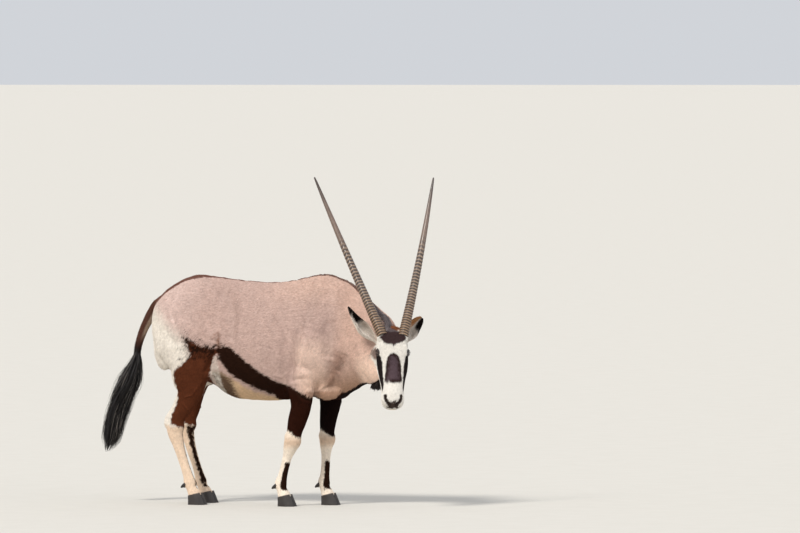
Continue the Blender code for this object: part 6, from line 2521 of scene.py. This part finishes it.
@dataclass
class LongCoat:
    """The short mane along the crest and the hanging tuft of the throat."""

    mane_locks: int = 900
    mane_rows: int = 5
    mane_length: float = 0.024
    throat_locks: int = 330
    throat_rows: int = 6
    throat_length: float = 0.027

    def mane(self, skin: Skin, draw: Draw) -> tuple[Mesh, Array, Array]:
        """Locks laid back along the crest, a little to each side by turns, with lifted tips.

        Args:
            skin: the finished skin.
            draw: the seeded source.

        Returns:
            The locks, and the colour and the place on the unwrap of each of their points.
        """
        middle = skin.points[skin.faces].mean(axis=1)
        wide = np.interp(middle[:, 0], (0.15, 0.35, 0.6, 0.74), (0.005, 0.006, 0.012, 0.024))
        share = face_areas(skin.points, skin.faces) * (off_crest(middle) < wide) * (middle[:, 2] > 0.86)
        share *= (middle[:, 0] > 0.13) & (middle[:, 0] < 0.765)
        share /= np.maximum(wide, 0.004)
        count = self.mane_locks
        root, _ = sown(skin.points, skin.faces, skin.normals, share, count, draw)
        path = crest_path()
        slope = unit(np.gradient(path, axis=0))
        back = -at_shares(np.linspace(0, 1, len(path)), slope, path_distance(root, path)[1])
        side = np.cross(UP, back)
        hand = np.sign(draw.normal(size=count))[:, None]
        length = self.mane_length * np.interp(root[:, 0], (0.13, 0.3, 0.76), (0.55, 0.9, 1.15))
        length = (length * draw.uniform(0.7, 1.15, count))[:, None, None]
        t = np.linspace(-0.08, 1.0, self.mane_rows)[None, :, None]
        rise = draw.uniform(0.16, 0.36, (count, 1, 1))
        aside = (0.05 + 0.16 * t) * (hand * side)[:, None]
        centres = root[:, None] + length * (t * back[:, None] + (rise * t - 0.1 * t**2) * UP + aside)
        roll = draw.uniform(0.2, 1.1, (count, 1)) * hand
        across = side * np.cos(roll) - UP * np.sin(roll)
        width = 0.0052 * draw.uniform(0.6, 1.3, count)
        mesh = lock_mesh(centres, across[:, None], width, width * 0.35)
        # towards the poll the locks take the crest's grey: dark hair with painted shade and a painted bluish
        # reflection of the sky
        crest = eased(0.52, 0.7, root[:, 0])[:, None]
        tone = linear("6E5145") + crest * (linear("5F5657") - linear("6E5145"))
        tone = tone * draw.uniform(0.6, 1.5, (count, 1))
        where = np.column_stack([(root[:, 0] - 0.1) / 0.7, self.aside(root)])
        each = CORNERS * self.mane_rows
        return mesh, np.repeat(tone, each, axis=0), np.repeat(where, each, axis=0)

    def aside(self, root: Array) -> Array:
        """Places across the neck's middle as shares of the unwrap."""
        return 0.5 + (root[:, 1] - NECK.middle(root[:, 0])) / 0.08

    def throat(self, skin: Skin, draw: Draw) -> tuple[Mesh, Array, Array]:
        """Locks that hang from the throat and bend back, longest in the middle.

        Args:
            skin: the finished skin.
            draw: the seeded source.

        Returns:
            The locks, and the colour and the place on the unwrap of each of their points.
        """
        middle = skin.points[skin.faces].mean(axis=1)
        away, _ = path_distance(middle, NECK.underside())
        share = face_areas(skin.points, skin.faces) * (away < 0.03)
        share *= (middle[:, 0] > 0.62) & (middle[:, 0] < 0.705) & (head_plane(middle) < 0.03)
        count = self.throat_locks
        root, normal = sown(skin.points, skin.faces, skin.normals, share, count, draw)
        swell = np.sin(math.pi * np.clip((root[:, 0] - 0.59) / 0.125, 0, 1))
        length = (self.throat_length * (0.45 + 0.62 * swell) * draw.uniform(0.75, 1.12, count))[:, None, None]
        t = np.linspace(-0.08, 1.0, self.throat_rows)[None, :, None]
        bend = np.clip(t, 0.0, 1.0) ** 1.6
        stray = draw.normal(0.0, 0.13, (count, 1, 3)) * t
        down = unit(normal * 0.35 - UP)[:, None]
        centres = root[:, None] + length * (t * down + bend * np.array([-1.0, 0.3, 0.0]) * 0.36 + stray)
        across = unit(np.cross(down[:, 0], draw.normal(size=(count, 3))))
        width = 0.0062 * draw.uniform(0.6, 1.4, count)
        mesh = lock_mesh(centres, across[:, None], width, width * 0.3)
        tone = linear("1B1412") * draw.uniform(0.6, 1.6, (count, 1))
        where = np.column_stack([(root[:, 0] - 0.58) / 0.14, self.aside(root)])
        each = CORNERS * self.throat_rows
        return mesh, np.repeat(tone, each, axis=0), np.repeat(where, each, axis=0)

    def make(self, skin: Skin, shop: Workshop) -> None:
        """Makes both pieces.

        Args:
            skin: the animal's skin.
            shop: where pieces are made.
        """
        draw = np.random.default_rng(5)
        for name, locks in (("mane", self.mane), ("throat_tuft", self.throat)):
            mesh, tone, where = locks(skin, draw)
            lock_map(shop.piece(name, mesh, tone, 0.5, Look.LONG, "neck_coat"), where)


# Studio


@dataclass
class Studio:
    """A long lens from the animal's right and front, a pale floor, and soft light from the camera's left."""

    azimuth: float = math.radians(22.0)
    elevation: float = math.radians(1.2)
    distance: float = 46.2
    lens: float = 400.0
    across: float = 0.683
    height: float = 1.24

    def camera(self, mover: Mover) -> None:
        """Places the camera square to the middle of the photograph's frame.

        Args:
            mover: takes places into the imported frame.
        """
        right = np.array([math.cos(self.azimuth), math.sin(self.azimuth), 0.0])
        target = mover.moved(right * self.across + UP * self.height)
        away = np.array([
            math.sin(self.azimuth) * math.cos(self.elevation),
            -math.cos(self.azimuth) * math.cos(self.elevation),
            math.sin(self.elevation),
        ])
        data = bpy.data.cameras.new("long_lens")
        data.lens, data.sensor_width, data.clip_end = self.lens, 36.0, 9000.0
        camera = bpy.data.objects.new("camera", data)
        camera.location = target + away * self.distance
        camera.rotation_euler = (math.pi / 2 - self.elevation, 0.0, self.azimuth)
        bpy.context.scene.collection.objects.link(camera)
        bpy.context.scene.camera = camera

    def floor(self) -> None:
        """A wide flat floor of pale plaster with a faint unevenness."""
        size = 4000.0
        corners = np.array([(-size, -size, 0.0), (size, -size, 0.0), (size, size, 0.0), (-size, size, 0.0)])
        plane = mesh_piece("floor", corners, np.array([[0, 1, 2, 3]]), smooth=False)
        material, tree, spot = fresh_tree("pale_plaster_floor")
        noise = added(tree, "TexNoise", Vector=spot, Scale=6.0, Detail=3.0)
        tone = added(
            tree, "Mix", {"data_type": "RGBA"}, n0=noise,
            n6=(*linear("CFCBC2"), 1.0), n7=(*linear("D6D2CA"), 1.0),
        )
        shader = added(tree, "BsdfPrincipled", Base_Color=tone.outputs[2], Roughness=0.9)
        added(tree, "OutputMaterial", Surface=shader)
        plane.data.materials.append(material)

    def lights(self) -> None:
        """A broad soft sun from the camera's left and above, and an even pale sky."""
        world = bpy.data.worlds.new("pale_sky")
        world.use_nodes = True
        back = world.node_tree.nodes["Background"]
        back.inputs["Color"].default_value = (0.86, 0.89, 0.94, 1.0)
        back.inputs["Strength"].default_value = 0.74
        bpy.context.scene.world = world
        for name, energy, spread, turn, height, colour in (
            ("key", 2.75, 12.0, math.radians(-34.0), math.radians(42.0), (1.0, 0.965, 0.91)),
            ("fill", 0.8, 60.0, math.radians(50.0), math.radians(10.0), (0.96, 0.97, 1.0)),
        ):
            data = bpy.data.lights.new(name, "SUN")
            data.energy, data.angle, data.color = energy, math.radians(spread), colour
            light = bpy.data.objects.new(name, data)
            light.rotation_euler = (math.pi / 2 - height, 0.0, self.azimuth + turn)
            bpy.context.scene.collection.objects.link(light)

    def build(self, mover: Mover) -> None:
        """Camera, floor, light and a plain view transform.

        Args:
            mover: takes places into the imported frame.
        """
        self.camera(mover)
        self.floor()
        self.lights()
        bpy.context.scene.view_settings.view_transform = "Standard"


def main() -> None:
    """Builds the studio and the animal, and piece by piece."""
    logging.basicConfig(level=logging.INFO, format="%(name)s: %(message)s", stream=sys.stdout)
    mover = Mover(HEAD.eye_centre(Side.RIGHT))
    log.info("shift %s", np.round(mover.shift, 4).tolist())
    Studio().build(mover)
    shop = Workshop(mover, {look: look.value.material() for look in Look})
    skin = Skin()
    skin.build()
    skin.dress(shop)
    Coat().build(skin, shop)
    LongCoat().make(skin, shop)
    Eyes().make(shop)
    for side in Side:
        Ear(side).make(shop)
        Horn(side).make(shop)
    for leg in LEGS:
        Hooves(leg).make(shop)
    Tail().make(shop)


def plain(box: object) -> list[list[float]]:
    """A box as plain lists of numbers."""
    return [[round(float(value), 5) for value in corner] for corner in box]


if __name__ == "__main__":
    main()
